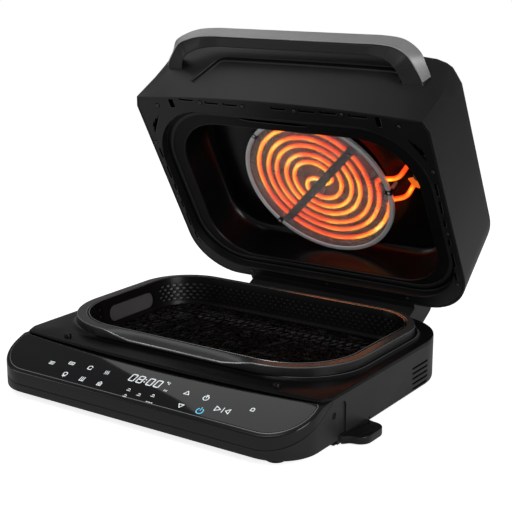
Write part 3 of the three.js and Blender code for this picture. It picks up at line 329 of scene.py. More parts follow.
def moulded(name, colour, roughness, grain=0.02, specular=0.35, metallic=0.0, scale=900.0, spread=0.25):
    """A material with a fine grain, cloudy gloss and faint specks, on the piece's own coordinates."""
    material, tree, shader = bare_material(name)
    shader.inputs["Metallic"].default_value = metallic
    shader.inputs["Specular IOR Level"].default_value = specular
    here = add_node(tree, "ShaderNodeTexCoord", output="Object")
    cloud = add_node(tree, "ShaderNodeTexNoise", None, {"Vector": here, "Scale": 14.0, "Detail": 4.0})
    fine = add_node(tree, "ShaderNodeTexNoise", None, {"Vector": here, "Scale": scale, "Detail": 2.0})
    dark = tuple(c * (1 - spread) for c in colour)
    light = tuple(c * (1 + spread) for c in colour)
    paint = add_node(tree, "ShaderNodeValToRGB", {"stops": [(0.3, dark), (0.7, light)]},
                     {"Fac": cloud * 0.6 + fine * 0.4})
    gloss = roughness - 0.5 * roughness * spread + cloud * (roughness * spread)
    bump = add_node(tree, "ShaderNodeBump", None, {"Height": fine, "Strength": grain, "Distance": 0.0002})
    feed(shader, "Base Color", paint)
    feed(shader, "Roughness", gloss)
    feed(shader, "Normal", bump)
    return material


def dress(material, *names):
    """Gives plain pieces of the solid model, shown as they are, their finish."""
    for name in names:
        nodes[name].data.materials.clear()
        nodes[name].data.materials.append(material)


satin_black = moulded("satin_black", (0.012, 0.012, 0.0125), 0.4, grain=0.12, specular=0.3)
BODY = dict(half=210, front=-75, rear=288, front_radius=47, rear_radius=76)


def parting(y):
    """The height at which the base wall meets the panel frame."""
    return 17.6 + (y - BODY["front"]) * 0.48


WALL_TOP = 56.45
wall_stations = (-14, -0.05, 0.05, 100)
wall_heights = [min(WALL_TOP, parting(y)) if y < 0 else WALL_TOP
                for x, y in rounded(**BODY, stations=wall_stations)]


def top_ring(grow, drop=0.0):
    """A ring at the wall's upper edge, which follows the panel frame's parting line at the front."""
    outline = rounded(**BODY, grow=grow, stations=wall_stations)
    return [(x, y, z - drop) for (x, y), z in zip(outline, wall_heights)]


shell = bmesh.new()
stack(shell, [*plan_rings(BODY, [(-1.6, 8.2), (-0.5, 8.8), (0, 10.4)], wall_stations),
              top_ring(0, 0.5), top_ring(-0.5), top_ring(-3),
              *plan_rings(BODY, [(-3, 8.2)], wall_stations)], join=True)
base_wall = settle(shell, "base_wall", "base", [satin_black])
channel = bmesh.new()
block(channel, (208.4, 12, -2), (216, 27, 49.5), 7, "X")
carve(base_wall, channel)
cuts = bmesh.new()
slot_pitch, slot_tall = 6.2, 2.6
for row in range(5):
    top = 38.5 - row * slot_pitch
    block(cuts, (204, 177 + row * 0.4, top - slot_tall), (216, 216, top), 1.2, "X", 4)
    block(cuts, (-216, 177, top - slot_tall), (-204, 216, top), 1.2, "X", 4)
block(cuts, (203, 11, 2), (216, 79, 13.1))
carve(base_wall, cuts)
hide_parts("base_housing")
dress(satin_black, "bottom_plate", "drawer_bay")


# The deck is a coated plate with a bowed front edge and clipped front corners.
# Its collar is drawn up round the well in one sweep, and two small pins stand in front of it.
deck_coat = moulded("deck_coat", (0.005, 0.005, 0.0053), 0.3, grain=0.05, specular=0.15)
BOW_HALF = 203.9
BOW = [-BOW_HALF, -195, -186, -176, -165, -120, -80, -40, 0, 40, 80, 120, 165, 176, 186, 195, BOW_HALF]


def bow(x):
    """How far forward the deck's front edge lies, across its width."""
    return -14.8 - 8.7 * (1 - (x / BOW_HALF) ** 2)


def deck_loop(grow):
    """The deck's outline, moved in or out along its own edges."""
    edge = [(x * (1 + grow / 206), bow(x) - grow) for x in BOW]
    x = BODY["half"] + grow
    side = [(x, grow * -0.4)] + rear_corner(x, BODY["rear"] + grow, BODY["rear_radius"] + grow)
    return edge + side + other_side(side)


def fill_between(bm, outer, inner):
    """Fills the flat face between two rings of edges."""
    edges = ring_edges(bm, outer) + ring_edges(bm, inner)
    bmesh.ops.triangle_fill(bm, edges=edges, use_beauty=True, use_dissolve=False)


def circle(x, y, radius, height, count):
    return [(x + radius * cos(2 * pi * i / count), y + radius * sin(2 * pi * i / count), height)
            for i in range(count)]


def turned(bm, x, y, profile, count, materials=None, caps=(True, True)):
    """A round part stood at a place on the plan, from its radius and height at each step."""
    stack(bm, [circle(x, y, radius, height, count) for radius, height in profile], materials, caps)


DECK_TOP = 60.5
COLLAR = dict(half=198, front=8, rear=268, front_radius=84, rear_radius=72)
WELL = dict(half=190, front=11.8, rear=260.5, front_radius=84, rear_radius=64)
deck = bmesh.new()
_, deck_edge = stack(deck, [flat(deck_loop(grow), z) for grow, z in (
    (-4, 56.5), (0, 56.5), (0, 59.8), (-0.3, 60.3), (-0.9, DECK_TOP))])
# The collar's top edge is painted a lighter grey metal: a painted highlight.
collar_painted_highlight = moulded("collar_painted_highlight", (0.16, 0.16, 0.162), 0.3, metallic=0.6, grain=0.02)
sweep = [(6.2, 0), (4.4, 0.2), (2.9, 0.8), (1.6, 1.7), (0.7, 2.7), (0.2, 3.6), (-0.5, 4.0)]
collar_foot, _ = stack(deck, plan_rings(COLLAR, [(grow, DECK_TOP + z) for grow, z in sweep])
                       + plan_rings(WELL, [(0.5, 64.5), (0, 64.0), (0, 56.5)]),
                       materials=[0, 0, 0, 0, 0, 1, 0, 0, 0])
fill_between(deck, deck_edge, collar_foot)
deck_piece = settle(deck, "deck", "base", [deck_coat, collar_painted_highlight])
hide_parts("deck_plate")
for side, word in ((-1, "left"), (1, "right")):
    pin = bmesh.new()
    knob = [(4.3, DECK_TOP), (4.3, 63.4), (3.8, 64.4), (2.6, 64.9), (0.9, 65.0)]
    turned(pin, side * 147, -9, knob, 24)
    knob_piece = settle(pin, f"locating_knob_{word}", "base", [deck_coat])
    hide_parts(f"locating_pin_{word}")


# The control panel: a gloss black frame that slopes down to the front, with a sheet of black glass let in.
# The glass's cut edge is painted bright as a painted highlight, and its symbols are lit from behind through
# the print.
gloss_black = moulded("gloss_black", (0.007, 0.007, 0.0074), 0.16, grain=0.01, specular=0.35, spread=0.15)
PANEL_RISE, PANEL_RUN = 21, 51.5
PANEL_BACK_Y, PANEL_BACK_Z = -23.5, 54.5


def slope(y):
    return PANEL_BACK_Z + (y - PANEL_BACK_Y) * (PANEL_RISE / PANEL_RUN)


def front_loop(grow):
    """The panel frame's outline: the front corners, the straight front and the two sides."""
    x = BODY["half"] + grow
    side = front_corner(x, BODY["front"] - grow, BODY["front_radius"] + grow) + [(x, -18.6), (x, 0)]
    return other_side(side) + side


def frame_ring(grow, depth):
    return [(x, y, min(WALL_TOP, slope(y) - depth)) for x, y in front_loop(grow)]


surround = bmesh.new()
_, lip = stack(surround, [
    [(x, y, parting(y) + 0.4) for x, y in front_loop(-2.2)],
    [(x, y, parting(y) + 0.4) for x, y in front_loop(-0.4)],
    [(x, y, parting(y) + 0.9) for x, y in front_loop(0)],
    frame_ring(0, 1.6), frame_ring(-0.25, 0.8), frame_ring(-0.9, 0.2), frame_ring(-1.8, 0),
    frame_ring(-9, 0), frame_ring(-9, 3.2),
], caps=(True, True))
frame_piece = settle(surround, "panel_surround", "base", [gloss_black])
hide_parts("panel_frame")


def glass_loop(grow):
    x = 206 + grow
    side = front_corner(x, -71 - grow, 43 + grow) + [(x, -24.0), (x - 0.8, -20.6 + grow)]
    edge = [(px * (x - 3.5) / BOW_HALF, bow(px) - 3.6 + grow) for px in reversed(BOW)]
    return side + edge + other_side(side)


printed_glass = moulded("printed_glass", (0.003, 0.003, 0.0033), 0.05, grain=0.0, specular=0.4, spread=0.1)
# The light grey of the cut edge is a painted highlight.
glass_edge_painted_highlight = moulded("glass_edge_painted_highlight", (0.2, 0.205, 0.21), 0.25, grain=0.01, specular=0.8, spread=0.2)
pane = bmesh.new()
GLASS_TOP = 0.42
stack(pane, [[(x, y, slope(y) + proud) for x, y in glass_loop(grow)]
             for grow, proud in ((0, -2.8), (0, 0.05), (-0.55, 0.35), (-1.6, GLASS_TOP))],
      materials=[0, 1, 0], caps=(True, True))
pane_piece = settle(pane, "touch_glass", "base", [printed_glass, glass_edge_painted_highlight])
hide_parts("control_glass")

tilt = atan2(PANEL_RISE, PANEL_RUN)
PANEL = (ROOT @ Matrix.Translation((0, PANEL_BACK_Y, PANEL_BACK_Z)) @ Matrix.Rotation(tilt, 4, "X")
         @ Matrix.Translation((0, 0, GLASS_TOP)))


def stroke(bm, points, width=1.05):
    """A thin lit line through a few points of the panel, given as steps across and down the slope."""
    for (x0, y0), (x1, y1) in zip(points, points[1:]):
        length = hypot(x1 - x0, y1 - y0)
        made = bmesh.ops.create_grid(bm, x_segments=1, y_segments=1, size=0.5)["verts"]
        bmesh.ops.scale(bm, vec=(length + width * 0.6, width, 1), verts=made)
        bmesh.ops.rotate(bm, matrix=Matrix.Rotation(atan2(y1 - y0, x1 - x0), 3, "Z"), verts=made)
        bmesh.ops.translate(bm, vec=((x0 + x1) / 2, (y0 + y1) / 2, 0), verts=made)


def ring_of(x, y, radius, begin=0, end=360, sides=20):
    return [(x + radius * cos(radians(begin + (end - begin) * i / sides)),
             y + radius * sin(radians(begin + (end - begin) * i / sides))) for i in range(sides + 1)]


def shifted(points, *shifts):
    """The same few points again at each shift across and up the slope."""
    return [[(x + dx, y + dy) for x, y in points] for dx, dy in shifts]


def digit(bm, x, y, figure):
    """A seven-bar figure, leaning a little."""
    wide, tall, lean, ease = 6.6, 10.4, 0.9, 0.12
    corner = {"ll": (x, y), "lm": (x + lean / 2, y + tall / 2), "lu": (x + lean, y + tall),
              "rl": (x + wide, y), "rm": (x + wide + lean / 2, y + tall / 2),
              "ru": (x + wide + lean, y + tall)}
    bars = {"a": ("lu", "ru"), "b": ("rm", "ru"), "c": ("rl", "rm"), "d": ("ll", "rl"), "e": ("ll", "lm"),
            "f": ("lm", "lu"), "g": ("lm", "rm")}
    for bar in {"0": "abcdef", "8": "abcdefg"}[figure]:
        (x0, y0), (x1, y1) = corner[bars[bar][0]], corner[bars[bar][1]]
        dx, dy = (x1 - x0) * ease, (y1 - y0) * ease
        stroke(bm, [(x0 + dx, y0 + dy), (x1 - dx, y1 - dy)], 1.5)


symbols = bmesh.new()
thick_lines = [
    *shifted([(-136, -30.1), (-129.4, -30.1)], (0, -1.9), (0, 0), (0, 1.9)),
    [(-111, -25.2), (-104, -25.2), (-104, -21.6), (-111, -21.6), (-111, -25.2)],
    ring_of(-79.8, -23.0, 2.9, 20, 340),
    [(-82.4, -25.6), (-77.2, -25.6)],
    ring_of(-102.6, -41.0, 2.6),
    [(-102.6, -43.6), (-102.6, -46.0)],
    *shifted([(-76.4, -44.6), (-76.4, -38.8)], (-2.4, 0), (0, 0), (2.4, 0)),
    [(-79.4, -44.8), (-73.4, -44.8)],
    [(-53.2, -44.9), (-53.2, -41.2), (-50.7, -38.8), (-48.2, -41.2), (-48.2, -44.9), (-53.2, -44.9)],
    [(54.2, -25.6), (57.5, -20.6), (60.8, -25.6), (54.2, -25.6)],
    [(59.1, -40.8), (62.4, -45.8), (65.7, -40.8), (59.1, -40.8)],
    ring_of(82.7, -23.9, 3.3),
    [(102, -37.6), (102, -30.8), (108.4, -34.2), (102, -37.6)],
    [(111.4, -30.6), (111.4, -37.8)],
    [(119.4, -30.8), (114.8, -34.2), (119.4, -37.6), (119.4, -30.8)],
    ring_of(141.7, -23.0, 1.9, 20, 160, 8),
    [(139.8, -22.4), (139.8, -25.4), (143.6, -25.4), (143.6, -22.4)],
]
thin_lines = [
    *shifted([(-54.5, -26.6), (-54.0, -24.4), (-55.0, -22.9), (-54.5, -21.2)], (-2.2, 0), (0, 0), (2.2, 0)),
    ring_of(-50.7, -42.6, 1.2, sides=10),
    ring_of(29.2, -17.0, 1.3, 50, 310, 10),
    *shifted([(29.6, -29.0), (29.6, -27.0)], (0, 0), (1.7, 0), (3.4, 0)),
    [(81.4, -19.4), (84.0, -19.4)],
]
for x, y in ((-10.4, -39.9), (-8.5, -49.5), (6.1, -43.1), (22.7, -39.4)):
    thin_lines += [[(x - 2.4, y - 1.3), (x + 2.4, y - 1.3)], ring_of(x, y + 0.4, 1.3, 0, 180, 8)]
middling = [[(-109.5, -23.4), (-105.5, -23.4)], [(-105.0, -44.4), (-100.2, -44.4)],
            [(82.7, -23.9), (82.7, -21.4)]]
dots = shifted([(24.1, -49.6), (25.9, -49.6)], (-3.2, 0), (0, 0), (3.2, 0))
colon = shifted([(-1.6, 0), (-0.9, 0)], (0, -23.6), (0, -19.6))
for width, lines in ((1.05, thick_lines), (0.9, middling), (0.8, thin_lines), (1.0, dots), (1.7, colon),
                     (0.7, [ring_of(26.2, -15.6, 0.7, sides=8)])):
    for points in lines:
        stroke(symbols, points, width)
for place, figure in ((-22, "0"), (-11.5, "8"), (2.5, "0"), (13, "0")):
    digit(symbols, place, -26.6, figure)
power_mark = bmesh.new()
stroke(power_mark, ring_of(87.7, -43.2, 4.0, 125, 415))
stroke(power_mark, [(87.7, -42.4), (87.7, -37.6)], 0.9)


def glow_finish(name, colour, strength):
    material = moulded(name, colour, 0.3, grain=0.0, spread=0.1)
    tree = material.node_tree
    shader = tree.nodes["Principled BSDF"]
    here = add_node(tree, "ShaderNodeTexCoord", output="Object")
    patch = add_node(tree, "ShaderNodeTexNoise", None, {"Vector": here, "Scale": 60.0})
    stops = [(0.2, tuple(c * 0.8 for c in colour)), (0.8, colour)]
    tint = add_node(tree, "ShaderNodeValToRGB", {"stops": stops}, {"Fac": patch})
    feed(shader, "Emission Color", tint)
    shader.inputs["Emission Strength"].default_value = strength
    return material


white_print = glow_finish("white_print", (0.62, 0.66, 0.68), 0.8)
blue_print = glow_finish("blue_print", (0.12, 0.55, 0.75), 0.8)
settle(symbols, "panel_symbols", "base", [white_print], place=PANEL)
settle(power_mark, "panel_power_mark", "base", [blue_print], place=PANEL)
for name in ("control_board", "power_board"):
    dress(moulded(f"{name}_lacquer", (0.014, 0.1, 0.04), 0.4, grain=0.05, scale=300), name)
dress(gloss_black, "display_module")


# Fittings of the base: four rubber feet, the steel probe socket in the right wall and the cord gland.
# The feet are soft pads pushed into the plate, and the gland is a rubber bush with a collar.
foot_rubber = moulded("foot_rubber", (0.012, 0.012, 0.012), 0.75, grain=0.2, specular=0.2)
socket_steel = moulded("socket_steel", (0.12, 0.12, 0.125), 0.35, metallic=1.0, grain=0.03)
for side, word in ((-1, "left"), (1, "right")):
    for y, place in ((-48, "front"), (232, "rear")):
        pad = bmesh.new()
        profile = [(8.8, 0.0), (10.2, 0.25), (11, 1.0), (10.8, 3.4), (9.8, 5.0), (9.4, 8.2)]
        turned(pad, side * 172, y, profile, 36)
        pad_piece = settle(pad, f"foot_pad_{place}_{word}", "base", [foot_rubber])
        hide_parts(f"foot_{place}_{word}")
dress(socket_steel, "probe_socket")
dress(foot_rubber, "cord_gland")


# The well is lined with a drawn sheet pan. The cooking pot hangs in it by a folded rim.
# The pot has a dark grey coat, with bright bands painted along the rim's edges as painted highlights, and a
# lip dipped into its front edge.
pan_steel = moulded("pan_steel", (0.03, 0.03, 0.03), 0.45, metallic=0.8, grain=0.1)
dress(pan_steel, "well_liner", "well_floor")
pot_coat = moulded("pot_coat", (0.009, 0.009, 0.0095), 0.3, grain=0.08, specular=0.3, scale=1400)
# The bright metal bands on the rim edges are painted highlights.
rim_painted_highlight = moulded("rim_painted_highlight", (0.5, 0.51, 0.52), 0.22, metallic=1.0, grain=0.03)
RIM = dict(half=195, front=4.5, rear=262, front_radius=90, rear_radius=68)
POT = dict(half=184, front=16.6, rear=256.5, front_radius=80, rear_radius=59)
LIP = (-142, -130, -118, -90, -60, -30, 0, 30, 60, 90, 118, 130, 142)


def pot_loop(plan, grow):
    """A rounded plan with extra points along its straight front, where the lip dips."""
    straight = plan["half"] - plan["front_radius"] - 1
    return rounded(**plan, grow=grow) + [(x * min(1, straight / LIP[-1]), plan["front"] - grow) for x in LIP]


def dip(x, y, share=1.0):
    """How deep the lip is pressed down at a point of the rim."""
    away = max(0.0, (abs(x) - 66) / 44)
    ease = 1 - min(1.0, away) ** 2 * (3 - 2 * min(1.0, away))
    return 7.6 * share * ease if y < 12 else 0.0


def rim_ring(grow, z, share):
    return [(x, y, z - dip(x, y, share)) for x, y in pot_loop(RIM, grow)]


def bowl_ring(grow, z):
    return flat(pot_loop(POT, grow), z)


inner_wall = moulded("inner_wall", (0.06, 0.06, 0.061), 0.4, grain=0.05, specular=0.4)
rim_grey = moulded("rim_grey", (0.035, 0.035, 0.036), 0.28, grain=0.05, specular=0.5)
pot = bmesh.new()
stack(pot, [
    bowl_ring(-17, 19.1), bowl_ring(-11, 19.6), bowl_ring(-8, 22), bowl_ring(-6.4, 27), bowl_ring(-5.6, 34),
    bowl_ring(-0.5, 74.0), bowl_ring(-0.1, 74.7), bowl_ring(0.6, 75), bowl_ring(1.6, 75),
    rim_ring(-1.6, 75, 0.8), rim_ring(-0.7, 74.9, 0.9), rim_ring(-0.1, 74.4, 1), rim_ring(0, 73.6, 1),
    flat(pot_loop(RIM, 0), 64.7), flat(pot_loop(RIM, -1.4), 64.7), rim_ring(-1.6, 73, 1),
    bowl_ring(1.8, 73.2), bowl_ring(-4, 34), bowl_ring(-6.5, 22), bowl_ring(-11, 17.6), bowl_ring(-17, 17.5),
], materials=[2, 2, 2, 2, 2, 3, 1, 3, 3, 3, 1, 3] + [0] * 8, caps=(True, True))
pot_piece = settle(pot, "pot", "pot", [pot_coat, rim_painted_highlight, inner_wall, rim_grey], crease=40)
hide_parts("cooking_pot")


# The crisper basket is pressed from black coated sheet: tapered walls with a rolled rim, whose edge is
# painted bright as a painted highlight, and rows of punched holes, a rounded slot in each side for the
# fingers, and a floor punched with long hexagons.
basket_coat = moulded("basket_coat", (0.004, 0.004, 0.0042), 0.3, grain=0.0, specular=0.15)
floor_coat = moulded("floor_coat", (0.005, 0.005, 0.0052), 0.5, grain=0.0, specular=0.15)


walls = bmesh.new()
stack(walls, plan_rings(POT, [
    (-9.5, 37.5), (-7.2, 38.6), (-6.4, 42.5), (-1.7, 73.6), (-1.9, 74.6), (-2.4, 75), (-3.0, 74.7),
    (-3.3, 73.8), (-7.8, 42.6), (-8.4, 40.9), (-9.2, 39.0), (-12.3, 39.0), (-12.3, 37.5),
]), materials=[0, 0, 0, 0, 1, 1, 0, 0, 0, 0, 0, 0, 0], join=True)
basket_walls = settle(walls, "basket_walls", "basket", [basket_coat, rim_painted_highlight])
finger_slots = bmesh.new()
for side in (-1, 1):
    low, high = sorted((side * 165, side * 195))
    block(finger_slots, (low, 101, 43.5), (high, 189, 63.8), 10.1, "X", 10)
carve(basket_walls, finger_slots)


def wall_places(pitch):
    """An even number of places at equal steps round the basket's wall, each with the way out of it."""
    loop = rounded(**POT, grow=-5.5)
    sides = list(zip(loop, loop[1:] + loop[:1]))
    lengths = [hypot(bx - ax, by - ay) for (ax, ay), (bx, by) in sides]
    count = 2 * round(sum(lengths) / pitch / 2)
    step, places = sum(lengths) / count, []
    walked = 0.0
    for ((ax, ay), (bx, by)), length in zip(sides, lengths):
        while len(places) < count and len(places) * step < walked + length:
            t = (len(places) * step - walked) / length
            places.append((ax + (bx - ax) * t, ay + (by - ay) * t, atan2(ax - bx, by - ay)))
        walked += length
    return places


# Five rows of oblong holes are punched round the lower wall, clear of the finger slots.
wall_holes = bmesh.new()
row_places = wall_places(4.45)
for row in range(5):
    for x, y, turn in row_places[row % 2::2]:
        if abs(x) > 170 and 88 < y < 202:
            continue
        made = bmesh.ops.create_cone(wall_holes, cap_ends=True, segments=6, radius1=1, radius2=1,
                                     depth=8)["verts"]
        bmesh.ops.scale(wall_holes, vec=(1.7, 3.5, 1), verts=made)
        bmesh.ops.rotate(wall_holes, matrix=Matrix.Rotation(pi / 2, 3, "Y"), verts=made)
        bmesh.ops.rotate(wall_holes, matrix=Matrix.Rotation(turn, 3, "Z"), verts=made)
        bmesh.ops.translate(wall_holes, vec=(x, y, 46.4 + row * 4.5), verts=made)
carve(basket_walls, wall_holes)
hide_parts("crisper_basket")


def repeat(bm, geom, step):
    """Copies some geometry and moves the copy by one step."""
    copy = bmesh.ops.duplicate(bm, geom=geom)["geom"]
    bmesh.ops.translate(bm, vec=step, verts=[v for v in copy if isinstance(v, bmesh.types.BMVert)])


def hex_field(bm, pitch, hole, inside, thick, reach, centre, height, stretch=1.0):
    """A punched sheet: one cell with its hole, repeated in rows, trimmed, then given its thickness."""
    seed = bmesh.ops.create_circle(bm, segments=6, radius=pitch / sqrt(3), cap_ends=True)["verts"]
    bmesh.ops.rotate(bm, matrix=Matrix.Rotation(pi / 6, 3, "Z"), verts=seed)
    face = seed[0].link_faces[0]
    bmesh.ops.inset_individual(bm, faces=[face], thickness=(pitch - hole) / 2, use_even_offset=True)
    bmesh.ops.delete(bm, geom=[face], context="FACES")
    step = pitch * sqrt(3) / 2
    columns, rows = ceil(reach[0] / pitch), ceil(reach[1] / step / stretch)
    start = (centre[0] - columns * pitch, centre[1] - rows * step, height)
    bmesh.ops.translate(bm, vec=start, verts=bm.verts)
    cell = list(bm.faces)
    for column in range(2 * columns):
        repeat(bm, cell, ((column + 1) * pitch, 0, 0))
    line = list(bm.faces)
    for row in range(2 * rows):
        repeat(bm, line, (pitch / 2 if row % 2 == 0 else 0, (row + 1) * step, 0))
    outside = []
    for face in bm.faces:
        x, y, _ = face.calc_center_median()
        row = round((y - centre[1]) / step)
        shift = pitch / 2 if (row + rows) % 2 else 0
        column = round((x - centre[0] - shift) / pitch)
        if not inside(centre[0] + shift + column * pitch, centre[1] + row * step * stretch):
            outside.append(face)
    bmesh.ops.delete(bm, geom=outside, context="FACES")
    bmesh.ops.remove_doubles(bm, verts=bm.verts, dist=pitch * 0.02)
    bmesh.ops.solidify(bm, geom=list(bm.faces), thickness=thick)
    bmesh.ops.translate(bm, vec=(0, -centre[1], 0), verts=bm.verts)
    bmesh.ops.scale(bm, vec=(1, stretch, 1), verts=bm.verts)
    bmesh.ops.translate(bm, vec=(0, centre[1], 0), verts=bm.verts)


def on_floor(x, y, margin=18.5):
    """Whether a hole lies on the basket's floor, inside its corner curves."""
    half, front, rear = POT["half"] - margin, POT["front"] + margin, POT["rear"] - margin
    if abs(x) > half or not front < y < rear:
        return False
    for radius, edge in ((POT["front_radius"] - margin, front), (POT["rear_radius"] - margin, rear)):
        cx = half - radius
        cy = edge + radius if edge == front else edge - radius
        beyond = (y < cy) if edge == front else (y > cy)
        if abs(x) > cx and beyond and hypot(abs(x) - cx, y - cy) > radius:
            return False
    return True


punched = bmesh.new()
hex_field(punched, 10, 7.6, on_floor, 1.3, (166, 120), (0, 137), 40.5, 1.6)
floor_piece = settle(punched, "punched_floor", "basket", [floor_coat], crease=50)
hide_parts("basket_floor")
legs = bmesh.new()
for x in (-120, 120):
    for y in (70, 200):
        turned(legs, x, y, ((4.6, 19.15), (6, 20.6), (6, 39.4)), 20)
foot_grey = moulded("foot_grey", (0.035, 0.035, 0.036), 0.7, grain=0.1, specular=0.2)
legs_piece = settle(legs, "basket_legs", "basket", [foot_grey])
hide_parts("basket_foot_front_left", "basket_foot_front_right",
            "basket_foot_rear_left", "basket_foot_rear_right")


# The probe drawer is a moulded tray that slides out under the right wall.
# Its gloss black tab is waisted, then widens to a round end.
tab_points = [(209, 19), (212, 22), (215, 25.5)]
tab_round = [i * pi / 2 / 10 for i in range(11)]
tab_points += [(219 + 14 * sin(t), 41 - 14 * cos(t)) for t in tab_round]
tab_points += [(219 + 14 * cos(t), 61 + 14 * sin(t)) for t in tab_round]
tab_points += [(215, 75.6), (212, 76.6), (209, 77)]


tab = bmesh.new()
stack(tab, [[(x + grow * (0.6 if x > 219 else 0.1), y + grow * (0.9 if y > 50 else -0.9), z)
             for x, y in tab_points]
            for grow, z in ((-1.2, 1.2), (-0.3, 1.6), (0, 2.6), (0, 8.8), (-0.3, 9.8), (-1.2, 10.2))],
      caps=(True, True))
tray_out = [(104, 11.5), (209.2, 11.5), (209.2, 78.5), (104, 78.5)]
tray_in = [(105.6, 13.1), (207.6, 13.1), (207.6, 76.9), (105.6, 76.9)]
stack(tab, [flat(tray_out, 3.4), flat(tray_out, 12.6), flat(tray_in, 12.6), flat(tray_in, 5.0)],
      caps=(True, True))
drawer_piece = settle(tab, "drawer", "drawer", [gloss_black])
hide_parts("probe_drawer")


# The hinge: two moulded ears on the rear wall, with a headed steel pin through each into the lid's neck.
dress(satin_black, "hinge_bracket_left", "hinge_bracket_right")
dress(socket_steel, "hinge_pin_left", "hinge_pin_right")


# The lid's shell is one deep satin black moulding whose walls lean in to a rounded top.
# Its front corners are creased low down, and a wide neck at the back wraps the hinge.
HINGE_Y, HINGE_Z, LID_TURN = 306.5, 12.6, radians(60.5)
HINGE = Vector((0, HINGE_Y, HINGE_Z))
OPEN = ROOT @ Matrix.Translation(HINGE) @ Matrix.Rotation(-LID_TURN, 4, "X") @ Matrix.Translation(-HINGE)
RIM_Z, TOP_Z, TOP_FRONT = 65.44, 165.5, -36.0


def lid_loop(z, grow=0.0):
    """The lid's outline at a height: bowed at the rim, flat with rounded corners at the top."""
    share = (z - RIM_Z) / (TOP_Z - RIM_Z)
    front = []
    for x in BOW:
        if abs(x) <= 165:
            tx, ty = x, TOP_FRONT
        else:
            turn = (abs(x) - 165) / 38.9 * pi / 2
            tx, ty = (165 + 38.9 * sin(turn)) * (1 if x > 0 else -1), -14.5 - 21.5 * cos(turn)
        front.append((x + (tx - x) * share, bow(x) + (ty - bow(x)) * share))
    half, rear, radius = 210 - 1.5 * share, 283 - 24 * share, 65 - 5 * share
    side = [(half, 0.0)] + rear_corner(half, rear, radius)
    loop = front + side + other_side(side)
    moved = []
    for (ax, ay), (x, y), (bx, by) in zip(loop[-1:] + loop[:-1], loop, loop[1:] + loop[:1]):
        na = Vector((y - ay, ax - x)).normalized()
        nb = Vector((by - y, x - bx)).normalized()
        step = (na + nb) * (grow / (1 + na.dot(nb)))
        moved.append((x + step.x, y + step.y, z))
    return moved


cover = bmesh.new()
heights = [66.0, 72, 90, 110, 130, 146]
crown_radius = 10
curve = [(crown_radius * (1 - cos(radians(a))), 155.5 + crown_radius * sin(radians(a)))
         for a in (0, 12, 24, 36, 48, 60, 70, 80, 90)]
outside = [lid_loop(RIM_Z, -0.5)] + [lid_loop(z) for z in heights] + [lid_loop(z, -g) for g, z in curve]
_, crown = stack(cover, outside)
bmesh.ops.contextual_create(cover, geom=crown)
inner = [lid_loop(RIM_Z, -2.6), lid_loop(120, -2.6), lid_loop(150, -3.2), lid_loop(162.5, -12)]
_, last_inner = stack(cover, inner)
bmesh.ops.contextual_create(cover, geom=last_inner)
low_ring = [v for v in cover.verts if abs(v.co.z - RIM_Z) < 0.001]
rim_edges = [e for e in cover.edges if e.verts[0] in low_ring and e.verts[1] in low_ring]
bmesh.ops.bridge_loops(cover, edges=rim_edges)
# The neck runs from the rear wall down to the hinge, given by its front and rear points from top to tip.
neck = [((262.1, 147), (268, 143)), ((268.6, 120), (320, 105.6)), ((269.8, 115), (324, 101)),
        ((271, 110), (325, 96)), ((281.6, 66), (325, 66)), ((290, 66), (325, 65.8)),
        ((290, 23.6), (325, 27.5))]
neck_half, tip_radius = 127, 11
for angle in (0, 25, 50, 75):
    across, down = tip_radius * cos(radians(angle)), HINGE_Z - tip_radius * sin(radians(angle))
    neck.append(((HINGE_Y - across, down), (HINGE_Y + across, down)))
stack(cover, [[(-neck_half, *ahead), (neck_half, *ahead), (neck_half, *behind), (-neck_half, *behind)]
              for ahead, behind in neck], caps=(True, True))
lid_piece = settle(cover, "lid_cover", "lid", [satin_black], place=OPEN, crease=32, bevel=1.2,
                   segments=3)
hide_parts("lid_shell")


def face_point(x, z, out=0.0):
    """A point on the lid's front wall, or a little in front of it."""
    share = (z - RIM_Z) / (TOP_Z - RIM_Z)
    return (x, bow(x) + (TOP_FRONT - bow(x)) * share - out, z)


def along_face(bm, path, profile):
    """A strip that follows a path on the front wall, from steps across and out of the wall."""
    rings = []
    for i, (x, z) in enumerate(path):
        ax, az = path[max(0, i - 1)]
        bx, bz = path[min(len(path) - 1, i + 1)]
        way = Vector((az - bz, bx - ax)).normalized()
        rings.append([face_point(x + way.x * step, z + way.y * step, proud) for step, proud in profile])
    stack(bm, rings, caps=(True, True))


rib_path = [(-128, 92.5), (-119, 111), (-112, 127), (-109, 132), (-104.5, 135), (-98, 136.2), (-50, 136.2),
            (0, 136.2), (50, 136.2), (100, 136.2), (140, 136.2), (147, 135), (151, 131.5), (154, 126),
            (157, 118)]
ribs = bmesh.new()
for sign in (-1, 1):
    along_face(ribs, rib_path, [(sign * 2.4, -0.6), (sign * 2.7, 0.5), (sign * 3.5, 1.1), (sign * 4.5, 0.9),
                                (sign * 5.4, 0.2), (sign * 5.6, -0.6)])
settle(ribs, "front_ribs", "lid", [satin_black], place=OPEN, crease=60)
# A very dark strip along the groove between the ribs is painted shade.
valley = bmesh.new()
along_face(valley, rib_path, [(-2.9, -0.6), (-2.9, 0.1), (2.9, 0.1), (2.9, -0.6)])
valley_painted_shade = moulded("valley_painted_shade", (0.002, 0.002, 0.002), 0.6, grain=0.02, specular=0.1)
settle(valley, "front_valley", "lid", [valley_painted_shade], place=OPEN)
dress(satin_black, "exhaust_cover")


